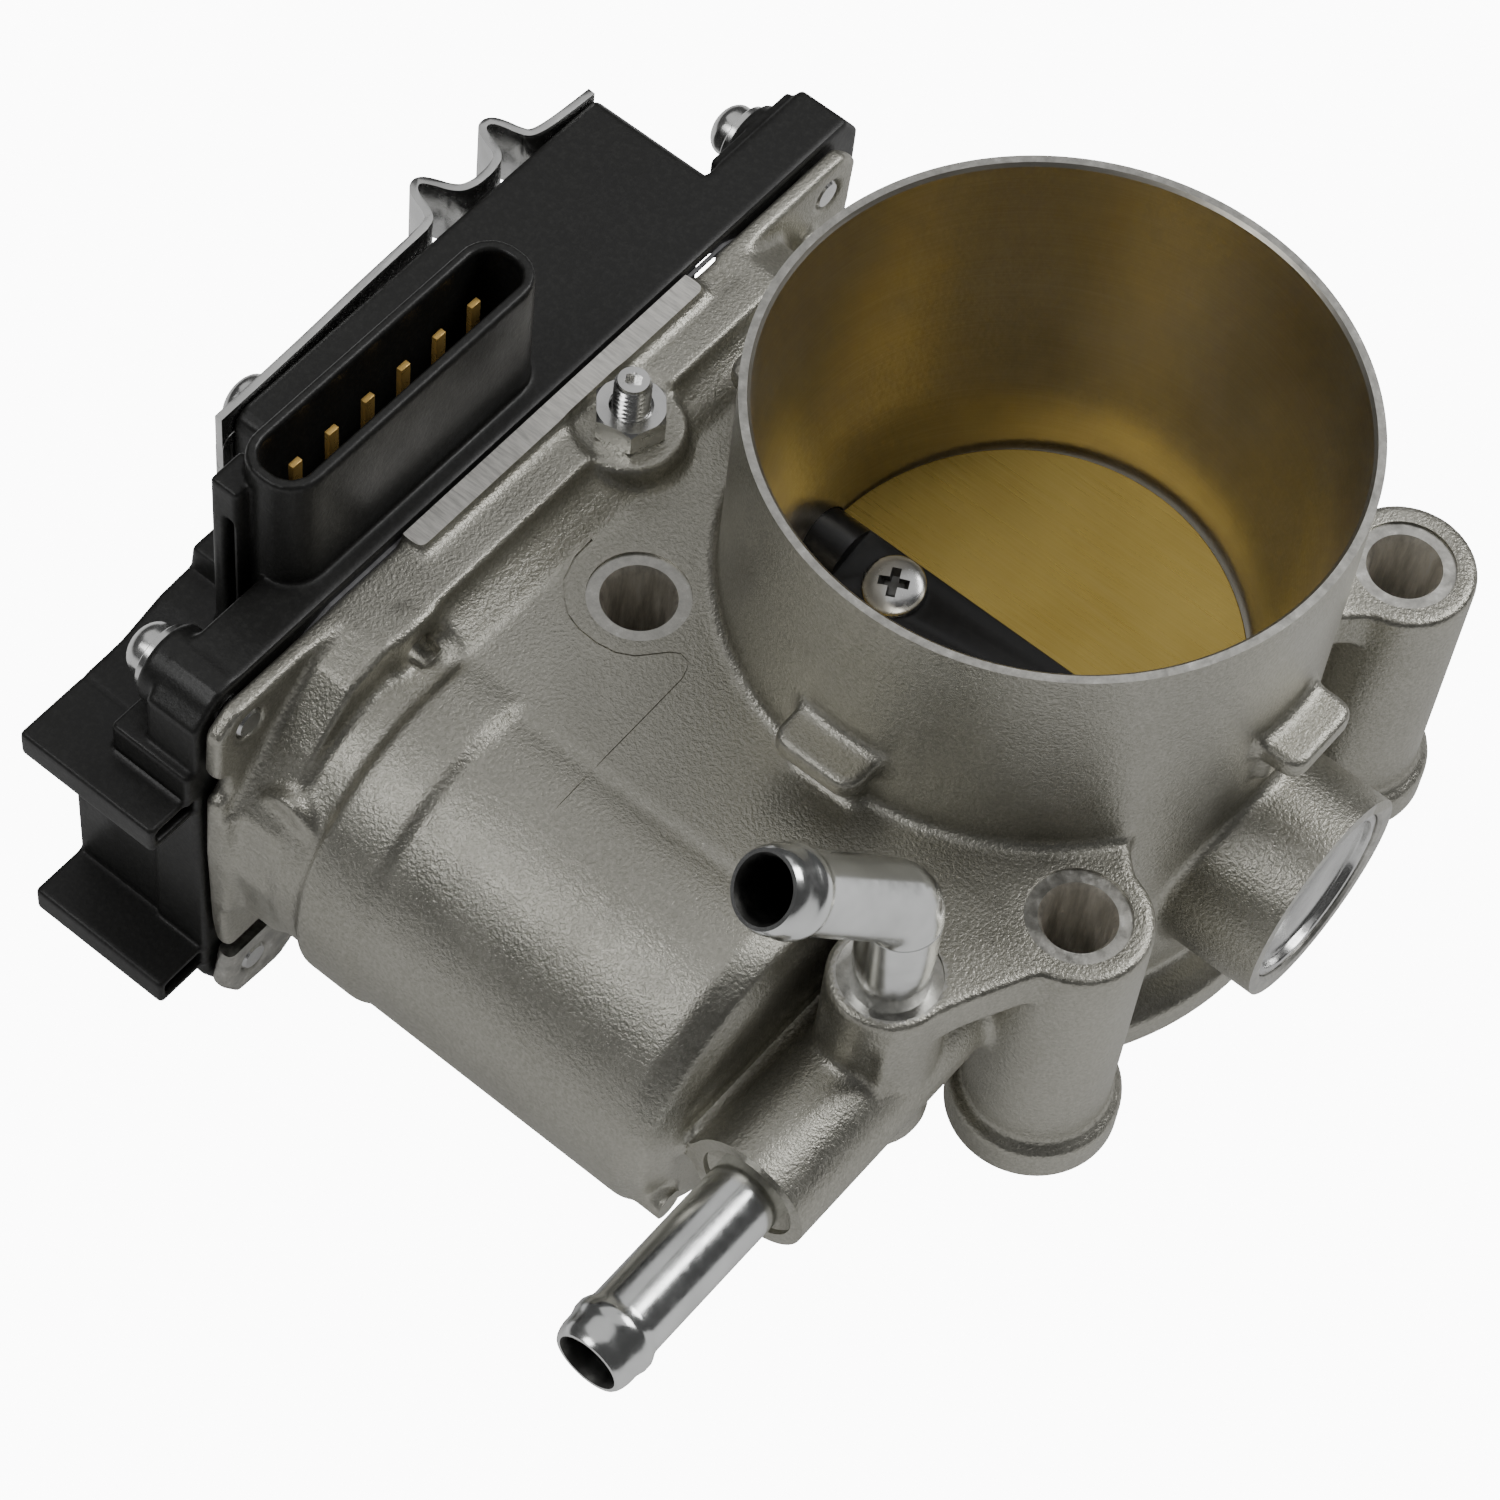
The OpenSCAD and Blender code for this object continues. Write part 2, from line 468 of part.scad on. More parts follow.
conn = [-58.6, -53, -50.2, -15.5];       // connector shroud, x0 y0 x1 y1
module gear_cover() color(black) difference() {
    union() {
        cover_shell();
        rod_x(box_x + 1.5, -58.2, inter_y, inter_z, 4.2);
    }
    rod_x(-61.2, -58, inter_y, inter_z, 2);
    for (i = [0:5]) blade(i, 37, 46);
}
module cover_shell() difference() {
    union() {
        along_x(edge_x, joint_x - seal_t) polygon(cover_2d);
        // main box, low box and the step between them
        along_x(box_x, edge_x + 1) polygon([[-41, -8], [-38, -9.5], [12, -9.5], [15.5, -6],
            [15.5, 41], [14.5, 42], [-39, 42], [-40.4, 41.4], [-41, 40]]);
        along_x(low_x, edge_x + 1) polygon([[-69.2, 26.6], [-69.2, -7.5], [-66, -10.5], [-40, -10.5],
            [-40, low_z], [-51, low_z], [-51.4, 30.6], [-55.6, 30.3], [-61.5, 28.4], [-66.5, 28.2]]);
        // connector shroud
        translate([0, 0, 27]) linear_extrude(conn_z - 27) polygon(rr(conn[0], conn[1], conn[2], conn[3], 3.8));
        block(-59.6, -56, -54.6, -50, 27, 55);
        // ledge and harness clip sleeves on the side
        block(-58, joint_x - seal_t, -71.2, -66, 27, 32.3);
        for (z = [24.4, -5.9]) block(low_x, joint_x - seal_t - 0.3, -76, -67, z, z + 3.7);
        // screw bosses
        for (e = ears) rod_x(edge_x - boss_h, joint_x - seal_t, e[0], e[1], 4.5);
        block(edge_x - 1.2, edge_x + 1, 17, 30, top_z - 3.5, top_z - 0.6);
    }
    // gear space
    along_x(edge_x - 0.1, joint_x) polygon(cavity_2d);
    along_x(box_x + 2, edge_x) polygon([[-39, -5], [-37, -6.4], [10.5, -6.4], [13.5, -4],
        [13.5, 38.5], [12, 39.8], [-39, 39.8]]);
    along_x(low_x + 2, edge_x) polygon([[-66.8, 22], [-66.8, 2], [-63, 1], [-59.5, -1.6],
        [-57.4, -7.5], [-38, -7.5], [-38, 27]]);
    // room for the large gear, and for the screw head under the low box
    rod_x(-58.2, edge_x + 0.1, inter_y, inter_z, 20.5);
    rod_x(low_x - 1, edge_x - boss_h, ears[2][0], ears[2][1], 4.6);
    // connector socket
    translate([0, 0, 45.5]) linear_extrude(20)
        polygon(rr(conn[0] + 1.3, conn[1] + 1.3, conn[2] - 1.3, conn[3] - 1.3, 2.6));
    block(-57.6, -56.8, -55, -53.2, 30, 50);
    // sleeve slots
    for (z = [24.4, -5.9]) block(low_x - 1, joint_x + 1, -75.1, -69.9, z + 0.9, z + 2.8);
    // screw holes
    at_ears() translate([0, 0, edge_x - 3]) cylinder(h = 12, r = 2.1);
    for (y = clip_screws) rod_x(box_x - 1, box_x + 1.9, y[0], y[1], 1.5);
}
// Connector pin i between two heights
module blade(i, z0, z1) let (y = -47.5 + i * pin_pitch) block(-55.35, -54.65, y - 0.7, y + 0.7, z0, z1);
clip_screws = [[-36.8, 38.5], [11.4, 35.6]];

module cover_seal() color([0.5, 0.5, 0.5]) along_x(joint_x - seal_t, joint_x) difference() {
    polygon([for (p = wall_2d) [p[0] * 0.992 - 0.1, 17 + (p[1] - 17) * 0.985]]);
    polygon(cavity_2d);
}

module cover_screws() color(steel) at_ears() translate([0, 0, edge_x - boss_h]) {
    translate([0, 0, -0.8]) cylinder(h = 0.8, r = 3.7);
    rotate_extrude() polygon([[0, -3.9], [1.2, -3.75], [2.2, -3.2], [2.8, -2.3], [2.95, -1.4],
        [2.95, -0.7], [0, -0.7]]);
    translate([0, 0, -0.1]) cylinder(h = boss_h + 3.8, r = 2);
    translate([0, 0, boss_h + 3.6]) cylinder(h = joint_x - edge_x - 1.4, r = 1.8);
}

module connector_pins() color([0.78, 0.6, 0.3]) for (i = [0:5])
    blade(i, 40.4, 54.5);

module lead_frame() color(copper) for (i = [0:5])
    blade(i, 37.2, 40.4);

module position_sensor() color([0.15, 0.2, 0.16]) {
    rod_x(-67.5, -66, 0, shaft_z, 9);
    rod_x(-66.1, -57, 0, shaft_z, 2.6);
}

clip_t = 1;
// Centre line of the spring plate's formed top edge, with its two waves
wave = [[-42.4, -70], [-30, -70.3], [-20, -70.7], [-11.5, -70.9], [-10.3, -71], [-9.2, -71.4], [-8.5, -72.6],
    [-8.1, -73.8], [-7.7, -74.7], [-7.1, -75.3], [-6.4, -75.4], [-5.8, -74.9], [-5.2, -73.7], [-4.7, -72.5],
    [-3.9, -71.5], [-2.6, -71], [-1.1, -70.9], [0.2, -71], [1.5, -71.4], [2.2, -72.3], [2.6, -73.5], [3.1, -74.7],
    [3.7, -75.3], [4.5, -75.3], [5.1, -74.7], [5.5, -73.6], [5.8, -72.3], [6.3, -71.2], [7.4, -70.7], [9.2, -70.4],
    [11.7, -70.2], [15, -70]];
function beside(line, d) = [for (i = [0:len(line) - 1]) let (a = line[max(i - 1, 0)],
    b = line[min(i + 1, len(line) - 1)], t = (b - a) / norm(b - a)) [line[i][1] - t[0] * d, line[i][0] + t[1] * d]];
module cover_spring_plate() color(steel) difference() {
    union() {
        along_x(box_x - clip_t, box_x) polygon(rr(-42.4, 29, 15, 39, 1.5));
        block(box_x - clip_t, box_x, -42.4, 15, 32, 38);
        translate([0, 0, 34]) linear_extrude(8.6) polygon(concat(beside(wave, 0.45),
            [for (i = [len(wave) - 1:-1:0]) beside(wave, -0.45)[i]]));
    }
    for (y = clip_screws) rod_x(box_x - 2, box_x + 1, y[0], y[1], 1.6);
    for (y = clip_screws) rod_x(box_x - 6, box_x - clip_t, y[0], y[1], 3.5);
}

module plate_clip_screws() color(steel) for (y = clip_screws) {
    rod_x(box_x - clip_t, box_x + 1.8, y[0], y[1], 1.5);
    turned_x(y[0], y[1]) polygon([[0, box_x - 3.6], [1.8, box_x - 3.3], [3, box_x - 2.4], [3.2, box_x - 1],
        [0, box_x - 1]]);
}

housing();
ball_bearing();
needle_bearing();
shaft_seals();
bearing_plug();
coolant_pipe_straight();
coolant_pipe_elbow();
stop_screw();
stop_nut();
throttle_shaft();
throttle_plate();
plate_screws();
sector_gear();
sensor_magnet();
return_spring();
intermediate_gear();
intermediate_pin();
motor_case();
motor_magnets();
motor_end_plate();
motor_screws();
motor_wave_washer();
motor_bushes();
motor_brushes();
motor_terminals();
motor_shaft();
motor_armature();
motor_commutator();
motor_pinion();
gear_cover();
cover_seal();
cover_screws();
connector_pins();
lead_frame();
position_sensor();
cover_spring_plate();
plate_clip_screws();
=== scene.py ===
import json
import math

import bmesh
import bpy
import numpy as np
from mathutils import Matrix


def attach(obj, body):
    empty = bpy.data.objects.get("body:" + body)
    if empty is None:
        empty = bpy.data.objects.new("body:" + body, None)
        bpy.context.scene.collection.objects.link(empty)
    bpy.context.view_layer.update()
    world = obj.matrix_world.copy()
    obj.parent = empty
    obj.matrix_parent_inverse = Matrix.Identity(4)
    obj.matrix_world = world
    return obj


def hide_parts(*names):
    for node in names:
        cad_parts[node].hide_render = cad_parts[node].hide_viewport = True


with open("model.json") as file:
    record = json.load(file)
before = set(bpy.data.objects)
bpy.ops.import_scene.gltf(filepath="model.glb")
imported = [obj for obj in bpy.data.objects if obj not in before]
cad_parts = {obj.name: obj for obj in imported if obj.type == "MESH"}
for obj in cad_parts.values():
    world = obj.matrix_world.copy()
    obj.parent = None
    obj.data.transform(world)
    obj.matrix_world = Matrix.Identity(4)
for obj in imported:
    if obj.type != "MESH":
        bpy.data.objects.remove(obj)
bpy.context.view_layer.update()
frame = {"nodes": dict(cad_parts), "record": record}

import openvdb as vdb
from mathutils import Matrix, Quaternion, Vector

MM = 0.001
scene = bpy.context.scene

# ---------------------------------------------------------------- camera
cam = bpy.data.cameras.new("camera")
cam.lens, cam.sensor_width = 112.94, 36.0
cam.clip_start, cam.clip_end = 0.01, 10.0
cam_obj = bpy.data.objects.new("camera", cam)
scene.collection.objects.link(cam_obj)
cam_obj.location = (0.12402, -0.24184, 0.42270)
cam_obj.rotation_mode = "QUATERNION"
cam_obj.rotation_quaternion = Quaternion((0.900637, 0.273848, 0.059040, 0.332227))
scene.camera = cam_obj

# ---------------------------------------------------------------- numbers shared with the CAD (mm)
BORE_R, RIM_R, RIM_IN_R, RIM_Z, DECK_Z = 25.0, 31.0, 29.8, 65.7, 37.0
BOLT_P, BOLT_R, SPOT_R, SPOT_DEEP = 27.5, 3.5, 5.35, 0.35
SHAFT_Z, SHAFT_R, REST_A, CLOSED_A = 20.0, 4.0, 14.5, 6.0
MOTOR_Y, MOTOR_Z, CAN_R = -49.5, 17.0, 16.5
JOINT_X, TOP_Z, FLOOR_X = -47.5, 42.0, -42.5
EDGE_X, BOX_X, BOSS_H, CLIP_T = -54.4, -69.5, 2.2, 1
CLIP_SCREWS = [(-36.8, 38.5), (11.4, 35.6)]
PLATE_T, PLATE_GAP, PLATE_SCREW_X, SHAFT_FLAT = 0.8, 0.15, (-14.5, 14.5), 1.9
PIPE_X, PIPE_Y, PIPE_Z, PIPE_R, PIPE_IN, BEAD_L = 17.8, -44.5, 20.0, 4.0, 3.0, 5.7
STRAIGHT_START, STRAIGHT_BEAD = 54.0, 82.0
ELBOW_HEADING, ELBOW_TURN, ELBOW_Z, ELBOW_R, ELBOW_L = 247.7, 49.1, 50.5, 6.0, 21.4
STOP = (-40.3, -14.0, 40.4)
INTER = (-26.116, 16.137)
EARS = [(-64.5, 37.6), (25.0, 36.8), (-64.8, -7.3), (25.0, -7.3)]
CAVITY = [(-57.5, 33), (-62, 29), (-66.4, 21), (-66.4, 12), (-62, 4), (-59, -2), (-56.5, -6.4),
          (14, -6.4), (18.6, -2.5), (19.4, 10), (19.4, 25), (14.5, 35.5), (8, 40.4), (-8, 40.4),
          (-9.5, 39.6), (-49, 39.6), (-54.5, 37.3)]
RAIL_Y, RAIL_X = (-40.2, 3.3), -45.1

# a faint line on the deck where two parts of the mould met
MOULD_LINE = [(-35.3, -25.5), (-35.2, -28.2), (-34.3, -30.9), (-33, -32.6), (-31.4, -33.9),
              (-29.4, -34.5), (-27.1, -34.6), (-24.9, -34.2), (-23.2, -33.2), (-22, -31.8),
              (-21, -30.6), (-20.1, -30), (-19.1, -30.2), (-18.5, -30.8), (-18.1, -32),
              (-18, -35.8), (-17.8, -45.6), (-17.5, -55.3)]


# ---------------------------------------------------------------- mesh helpers
def new_object(name, mesh):
    obj = bpy.data.objects.new(name, mesh)
    scene.collection.objects.link(obj)
    return obj


def band(a, b, n):
    """Quads between two rings of n points that start at a and b."""
    return [(a + i, a + (i + 1) % n, b + (i + 1) % n, b + i) for i in range(n)]


def mesh_from(name, verts, faces):
    """A mesh from millimetre points."""
    me = bpy.data.meshes.new(name)
    points = [tuple(v) for v in np.asarray(verts, float) * MM]
    me.from_pydata(points, [], [tuple(int(i) for i in f) for f in faces])
    me.validate()
    return me


def fix_normals(me):
    bm = bmesh.new()
    bm.from_mesh(me)
    bmesh.ops.recalc_face_normals(bm, faces=bm.faces)
    bm.to_mesh(me)
    bm.free()


def shade(me, angle=32.0):
    """Smooth shading with edges above the angle kept sharp."""
    bm = bmesh.new()
    bm.from_mesh(me)
    limit = math.radians(angle)
    for f in bm.faces:
        f.smooth = True
    for e in bm.edges:
        e.smooth = len(e.link_faces) == 2 and e.calc_face_angle(0.0) < limit
    bm.to_mesh(me)
    bm.free()


AXES = {"X": Matrix(((0, 0, 1), (1, 0, 0), (0, 1, 0))), "Y": Matrix(((0, 1, 0), (0, 0, 1), (1, 0, 0))),
        "Z": Matrix.Identity(3)}


def lathe_mesh(name, profile, origin=(0, 0, 0), axis="Z", n=96):
    """Revolves (radius, height) points that start and end on the axis."""
    verts, rings = [], []
    for r, h in profile:
        if r < 1e-6:
            rings.append([len(verts)])
            verts.append(Vector((0, 0, h)))
        else:
            rings.append(list(range(len(verts), len(verts) + n)))
            turns = [2 * math.pi * i / n for i in range(n)]
            verts += [Vector((r * math.cos(a), r * math.sin(a), h)) for a in turns]
    faces = []
    for a, b in zip(rings, rings[1:]):
        for i in range(n):
            j = (i + 1) % n
            if len(a) == 1 and len(b) == 1:
                break
            if len(a) == 1:
                faces.append((a[0], b[i], b[j]))
            elif len(b) == 1:
                faces.append((a[i], a[j], b[0]))
            else:
                faces.append((a[i], a[j], b[j], b[i]))
    me = mesh_from(name, [AXES[axis] @ v + Vector(origin) for v in verts], faces)
    fix_normals(me)
    return me


def prism_mesh(name, points, lo, hi, axis="X"):
    """Extrudes a closed 2-D outline; along X the outline is (y, z), along Z it is (x, y)."""
    rot = AXES[axis]
    n = len(points)
    verts = [rot @ Vector((p[0], p[1], h)) for h in (lo, hi) for p in points]
    faces = [tuple(range(n)), tuple(range(2 * n - 1, n - 1, -1))]
    faces += band(0, n, n)
    me = mesh_from(name, verts, faces)
    fix_normals(me)
    return me


def box_mesh(name, x0, x1, y0, y1, z0, z1):
    return prism_mesh(name, [(x0, y0), (x1, y0), (x1, y1), (x0, y1)], z0, z1, "Z")


def rod(axis, lo, hi, origin, r, n=64, chamfer=0.0):
    c = chamfer
    prof = [(0, lo), (r, lo), (r, hi), (0, hi)]
    if c:
        prof = [(0, lo), (r - c, lo), (r, lo + c), (r, hi - c), (r - c, hi), (0, hi)]
    return lathe_mesh("rod", prof, origin, axis, n)


def arrays(me):
    """Points in millimetres and triangles."""
    me.calc_loop_triangles()
    v = np.empty(len(me.vertices) * 3, np.float32)
    me.vertices.foreach_get("co", v)
    t = np.empty(len(me.loop_triangles) * 3, np.int32)
    me.loop_triangles.foreach_get("vertices", t)
    return v.reshape(-1, 3) / MM, t.reshape(-1, 3)


def ribbon(points, start, end):
    """The outline of a line whose half width changes from start to end."""
    p = [Vector(q) for q in points]
    sides = [[], []]
    for i, q in enumerate(p):
        way = (p[min(i + 1, len(p) - 1)] - p[max(i - 1, 0)]).normalized()
        half = start + (end - start) * i / (len(p) - 1)
        for side, k in zip(sides, (half, -half)):
            side.append((q.x - way.y * k, q.y + way.x * k))
    return sides[0] + sides[1][::-1]


def soup(meshes):
    vs, ts, base = [], [], 0
    for me in meshes:
        v, t = arrays(me)
        vs.append(v)
        ts.append(t + base)
        base += len(v)
    return np.concatenate(vs).astype(np.float32), np.concatenate(ts).astype(np.uint32)


def level_set(points, voxel, half, triangles=None, quads=None):
    kw = {"transform": vdb.createLinearTransform(voxelSize=voxel), "halfWidth": half}
    if triangles is not None:
        kw["triangles"] = triangles
    if quads is not None:
        kw["quads"] = quads
    return vdb.FloatGrid.createLevelSetFromPolygons(points, **kw)


def rolled(name, meshes, voxel, concave, convex):
    """The union of closed meshes with rolling-ball radii on its inner and outer corners."""
    p, t = soup(meshes)
    grid = level_set(p, voxel, triangles=t, half=max(concave, convex) / voxel + 3)
    steps = ([concave, -concave] if concave else []) + ([-convex, convex] if convex else [])
    for k, iso in enumerate(steps):
        if k == len(steps) - 1:
            p, t, q = grid.convertToPolygons(isovalue=iso, adaptivity=0.0)
        else:
            p, q = grid.convertToQuads(isovalue=iso)
            grid = level_set(p, voxel, quads=q, half=max(concave, convex) / voxel + 3)
    me = mesh_from(name, p, [tuple(f) for f in t] + [tuple(f) for f in q])
    fix_normals(me)
    return me


def carve(me, cutters, operation="DIFFERENCE"):
    """Applies cutters one after another and returns the new mesh."""
    obj = new_object("carving", me)
    for cut in cutters:
        tool = new_object("cutter", cut)
        mod = obj.modifiers.new("cut", "BOOLEAN")
        mod.operation, mod.object, mod.solver = operation, tool, "MANIFOLD"
        deps = bpy.context.evaluated_depsgraph_get()
        done = bpy.data.meshes.new_from_object(obj.evaluated_get(deps))
        obj.modifiers.clear()
        obj.data = done
        bpy.data.objects.remove(tool)
    out = obj.data
    bpy.data.objects.remove(obj)
    return out


def cad_mesh(node):
    """A welded copy of a CAD node's mesh with its flat faces whole again."""
    me = frame["nodes"][node].data.copy()
    bm = bmesh.new()
    bm.from_mesh(me)
    bmesh.ops.remove_doubles(bm, verts=bm.verts, dist=1e-6)
    bmesh.ops.dissolve_limit(bm, angle_limit=math.radians(0.5), verts=bm.verts, edges=bm.edges)
    bm.to_mesh(me)
    bm.free()
    me.materials.clear()
    return me


def beveled(me, width, segments=2, angle=30.0):
    obj = new_object("bevel", me)
    mod = obj.modifiers.new("bevel", "BEVEL")
    mod.width, mod.segments = width * MM, segments
    mod.limit_method, mod.angle_limit = "ANGLE", math.radians(angle)
    mod.use_clamp_overlap = True
    mod.harden_normals = False
    deps = bpy.context.evaluated_depsgraph_get()
    out = bpy.data.meshes.new_from_object(obj.evaluated_get(deps))
    bpy.data.objects.remove(obj)
    return out


def piece(name, me, mats, body="body", replaces=(), angle=32.0):
    """A finished piece: shading, materials, body and the CAD nodes it stands for."""
    shade(me, angle)
    if me.materials:
        me.materials.clear()
    for m in (mats if isinstance(mats, (list, tuple)) else [mats]):
        me.materials.append(m)
    obj = new_object(name, me)
    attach(obj, body)
    if replaces:
        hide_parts(*replaces)
    return obj


# ---------------------------------------------------------------- materials
class Nodes:
    """A material with a Principled shader and shorthand for its textures."""

    def __init__(self, name, metallic=0.0, rough=0.5, color=(0.5, 0.5, 0.5), spec=0.5):
        self.mat = bpy.data.materials.new(name)
        self.mat.use_nodes = True
        self.tree = self.mat.node_tree
        self.bsdf = self.tree.nodes["Principled BSDF"]
        self.bsdf.inputs["Metallic"].default_value = metallic
        self.bsdf.inputs["Roughness"].default_value = rough
        self.bsdf.inputs["Base Color"].default_value = (*color, 1)
        self.bsdf.inputs["IOR"].default_value = 1.5
        self.bsdf.inputs["Specular IOR Level"].default_value = spec
        self.coord = self.add("ShaderNodeTexCoord")
        self.height = None

    def add(self, kind, **props):
        node = self.tree.nodes.new(kind)
        for k, v in props.items():
            setattr(node, k, v)
        return node

    def link(self, a, b):
        self.tree.links.new(a, b)

    def mapped(self, scale, rotation=(0, 0, 0)):
        m = self.add("ShaderNodeMapping")
        m.inputs["Scale"].default_value = scale
        m.inputs["Rotation"].default_value = rotation
        self.link(self.coord.outputs["Object"], m.inputs["Vector"])
        return m.outputs["Vector"]

    def noise(self, scale, detail=3.0, rough=0.55, vector=None):
        n = self.add("ShaderNodeTexNoise")
        n.inputs["Scale"].default_value = scale
        n.inputs["Detail"].default_value = detail
        n.inputs["Roughness"].default_value = rough
        self.link(vector or self.coord.outputs["Object"], n.inputs["Vector"])
        return n.outputs["Fac"]

    def ramp(self, fac, stops):
        r = self.add("ShaderNodeValToRGB")
        while len(r.color_ramp.elements) < len(stops):
            r.color_ramp.elements.new(0.5)
        for e, (pos, col) in zip(r.color_ramp.elements, stops):
            e.position = pos
            e.color = (*col, 1) if len(col) == 3 else col
        self.link(fac, r.inputs["Fac"])
        return r.outputs["Color"]

    def mix(self, fac, a, b):
        m = self.add("ShaderNodeMix", data_type="RGBA")
        for sock, val in ((m.inputs[0], fac), (m.inputs[6], a), (m.inputs[7], b)):
            if isinstance(val, (int, float)):
                sock.default_value = val
            elif isinstance(val, tuple):
                sock.default_value = (*val, 1)
            else:
                self.link(val, sock)
        return m.outputs[2]

    def span(self, fac, lo, hi, a=0.0, b=1.0):
        m = self.add("ShaderNodeMapRange")
        self.link(fac, m.inputs["Value"])
        for key, val in (("From Min", a), ("From Max", b), ("To Min", lo), ("To Max", hi)):
            m.inputs[key].default_value = val
        return m.outputs["Result"]

    def color(self, sock):
        self.link(sock, self.bsdf.inputs["Base Color"])

    def rough(self, sock):
        self.link(sock, self.bsdf.inputs["Roughness"])

    def bump(self, height, distance):
        b = self.add("ShaderNodeBump")
        b.inputs["Distance"].default_value = distance
        b.inputs["Strength"].default_value = 1.0
        self.link(height, b.inputs["Height"])
        if self.height is not None:
            self.link(self.height, b.inputs["Normal"])
        self.height = b.outputs["Normal"]
        self.link(self.height, self.bsdf.inputs["Normal"])


def cast_aluminium():
    m = Nodes("cast_aluminium", metallic=0.9, rough=0.42, color=(0.42, 0.41, 0.355))
    stain = m.noise(45, 4, 0.6)
    grain = m.noise(2600, 2, 0.6)
    col = m.ramp(stain, [(0.3, (0.35, 0.34, 0.29)), (0.52, (0.42, 0.41, 0.355)), (0.75, (0.50, 0.49, 0.43))])
    m.color(m.mix(m.span(grain, 0.0, 0.5, 0.35, 0.75), col, (0.68, 0.66, 0.60)))
    m.rough(m.span(m.noise(180, 3), 0.33, 0.45, 0.3, 0.7))
    m.bump(m.noise(420, 3, 0.6), 0.00002)
    m.bump(m.noise(2600, 2, 0.65), 0.00010)
    return m.mat


def machined(name, direction, rough=0.3, color=(0.74, 0.73, 0.71)):
    """Bright cut metal whose tool marks run along one direction."""
    m = Nodes(name, metallic=1.0, rough=rough, color=color)
    marks = m.noise(1.0, 4, 0.7, m.mapped(scale=direction))
    m.color(m.ramp(marks, [(0.35, tuple(c * 0.7 for c in color)), (0.6, color), (0.8, (0.9, 0.89, 0.87))]))
    m.rough(m.span(marks, rough - 0.06, rough + 0.12, 0.3, 0.7))
    m.bump(marks, 0.00003)
    return m.mat


def turned_bore():
    """The neck's inside: turned and slightly stained metal with rings round the bore."""
    m = Nodes("turned_bore", metallic=1.0, rough=0.34, color=(0.66, 0.63, 0.56))
    rings = m.noise(1.0, 4, 0.7, m.mapped(scale=(60, 60, 5200)))
    stain = m.noise(28, 4, 0.6, m.mapped(scale=(1.0, 1.0, 0.45)))
    base = m.ramp(stain, [(0.3, (0.56, 0.52, 0.44)), (0.55, (0.65, 0.62, 0.54)), (0.8, (0.74, 0.71, 0.63))])
    m.color(m.mix(m.span(rings, 0.0, 0.3, 0.4, 0.75), base, (0.82, 0.80, 0.74)))
    m.rough(m.span(m.noise(120, 3), 0.30, 0.40, 0.3, 0.7))
    m.bump(rings, 0.000012)
    m.bump(m.noise(1500, 2), 0.00002)
    return m.mat


def brushed_brass():
    m = Nodes("brushed_brass", metallic=1.0, rough=0.30, color=(0.50, 0.36, 0.09))
    lines = m.noise(1.0, 4, 0.7, m.mapped(scale=(90, 4200, 4200), rotation=(0, 0, math.radians(38))))
    patch = m.noise(70, 3, 0.5)
    base = m.ramp(patch, [(0.3, (0.44, 0.31, 0.07)), (0.7, (0.56, 0.41, 0.11))])
    m.color(m.mix(m.span(lines, 0.0, 0.4, 0.35, 0.75), base, (0.70, 0.54, 0.20)))
    m.rough(m.span(lines, 0.25, 0.38, 0.3, 0.7))
    m.bump(lines, 0.00002)
    return m.mat


def black_plastic():
    m = Nodes("black_plastic", rough=0.42, color=(0.018, 0.018, 0.017), spec=0.5)
    fine = m.noise(1800, 3, 0.6)
    soft = m.noise(90, 3, 0.5)
    m.color(m.mix(m.span(fine, 0.0, 0.5, 0.45, 0.8), (0.014, 0.014, 0.013), (0.045, 0.045, 0.042)))
    m.rough(m.span(soft, 0.34, 0.50, 0.3, 0.7))
    m.bump(m.noise(900, 3, 0.6), 0.00002)
    m.bump(fine, 0.00002)
    return m.mat


def metal(name, color, rough, wear=0.12, bump=0.00001, metallic=1.0):
    m = Nodes(name, metallic=metallic, rough=rough, color=color)
    n1 = m.noise(900, 3, 0.6)
    n2 = m.noise(140, 3, 0.5)
    dark = tuple(c * (1 - wear * 2) for c in color)
    m.color(m.ramp(n2, [(0.3, dark), (0.55, color), (0.8, tuple(min(1.0, c * (1 + wear)) for c in color))]))
    m.rough(m.span(n1, rough * 0.75, rough * 1.35, 0.3, 0.7))
    m.bump(n1, bump)
    return m.mat


def dull(name, color, rough):
    m = Nodes(name, rough=rough, color=color)
    n = m.noise(900, 3, 0.6)
    m.color(m.ramp(n, [(0.3, tuple(c * 0.8 for c in color)), (0.7, tuple(min(1.0, c * 1.2) for c in color))]))
    m.rough(m.span(n, rough * 0.85, rough * 1.15, 0.3, 0.7))
    m.bump(n, 0.00002)
    return m.mat


CAST = cast_aluminium()
RAIL = machined("machined_rail", (300, 2600, 300), 0.42, (0.92, 0.90, 0.85))
FACED = machined("machined_face", (700, 700, 700), 0.34, (0.60, 0.59, 0.55))
HOLE = machined("machined_hole", (900, 900, 120), 0.45, (0.85, 0.82, 0.76))
BORE = turned_bore()
BRASS = brushed_brass()
PLASTIC = black_plastic()
ZINC = metal("zinc_plate", (0.80, 0.80, 0.79), 0.22)
CHROME = metal("bright_plate", (0.86, 0.87, 0.86), 0.19, wear=0.08, bump=0.000004)
STEEL = metal("ground_steel", (0.62, 0.62, 0.62), 0.28)
BLACK_SHAFT = dull("black_oxide", (0.012, 0.012, 0.013), 0.34)
GOLD = metal("gold_pin", (0.72, 0.46, 0.13), 0.3, metallic=0.5)
# dark grey for the screws' cross recesses: painted shade inside the recess
RECESS_PAINTED_SHADE = metal("screw_recess_painted_shade", (0.22, 0.22, 0.215), 0.5)
# near-black for the pipes' inner wall: painted shade down the bore
PIPE_INSIDE_PAINTED_SHADE = metal("pipe_inside_painted_shade", (0.10, 0.10, 0.095), 0.5)
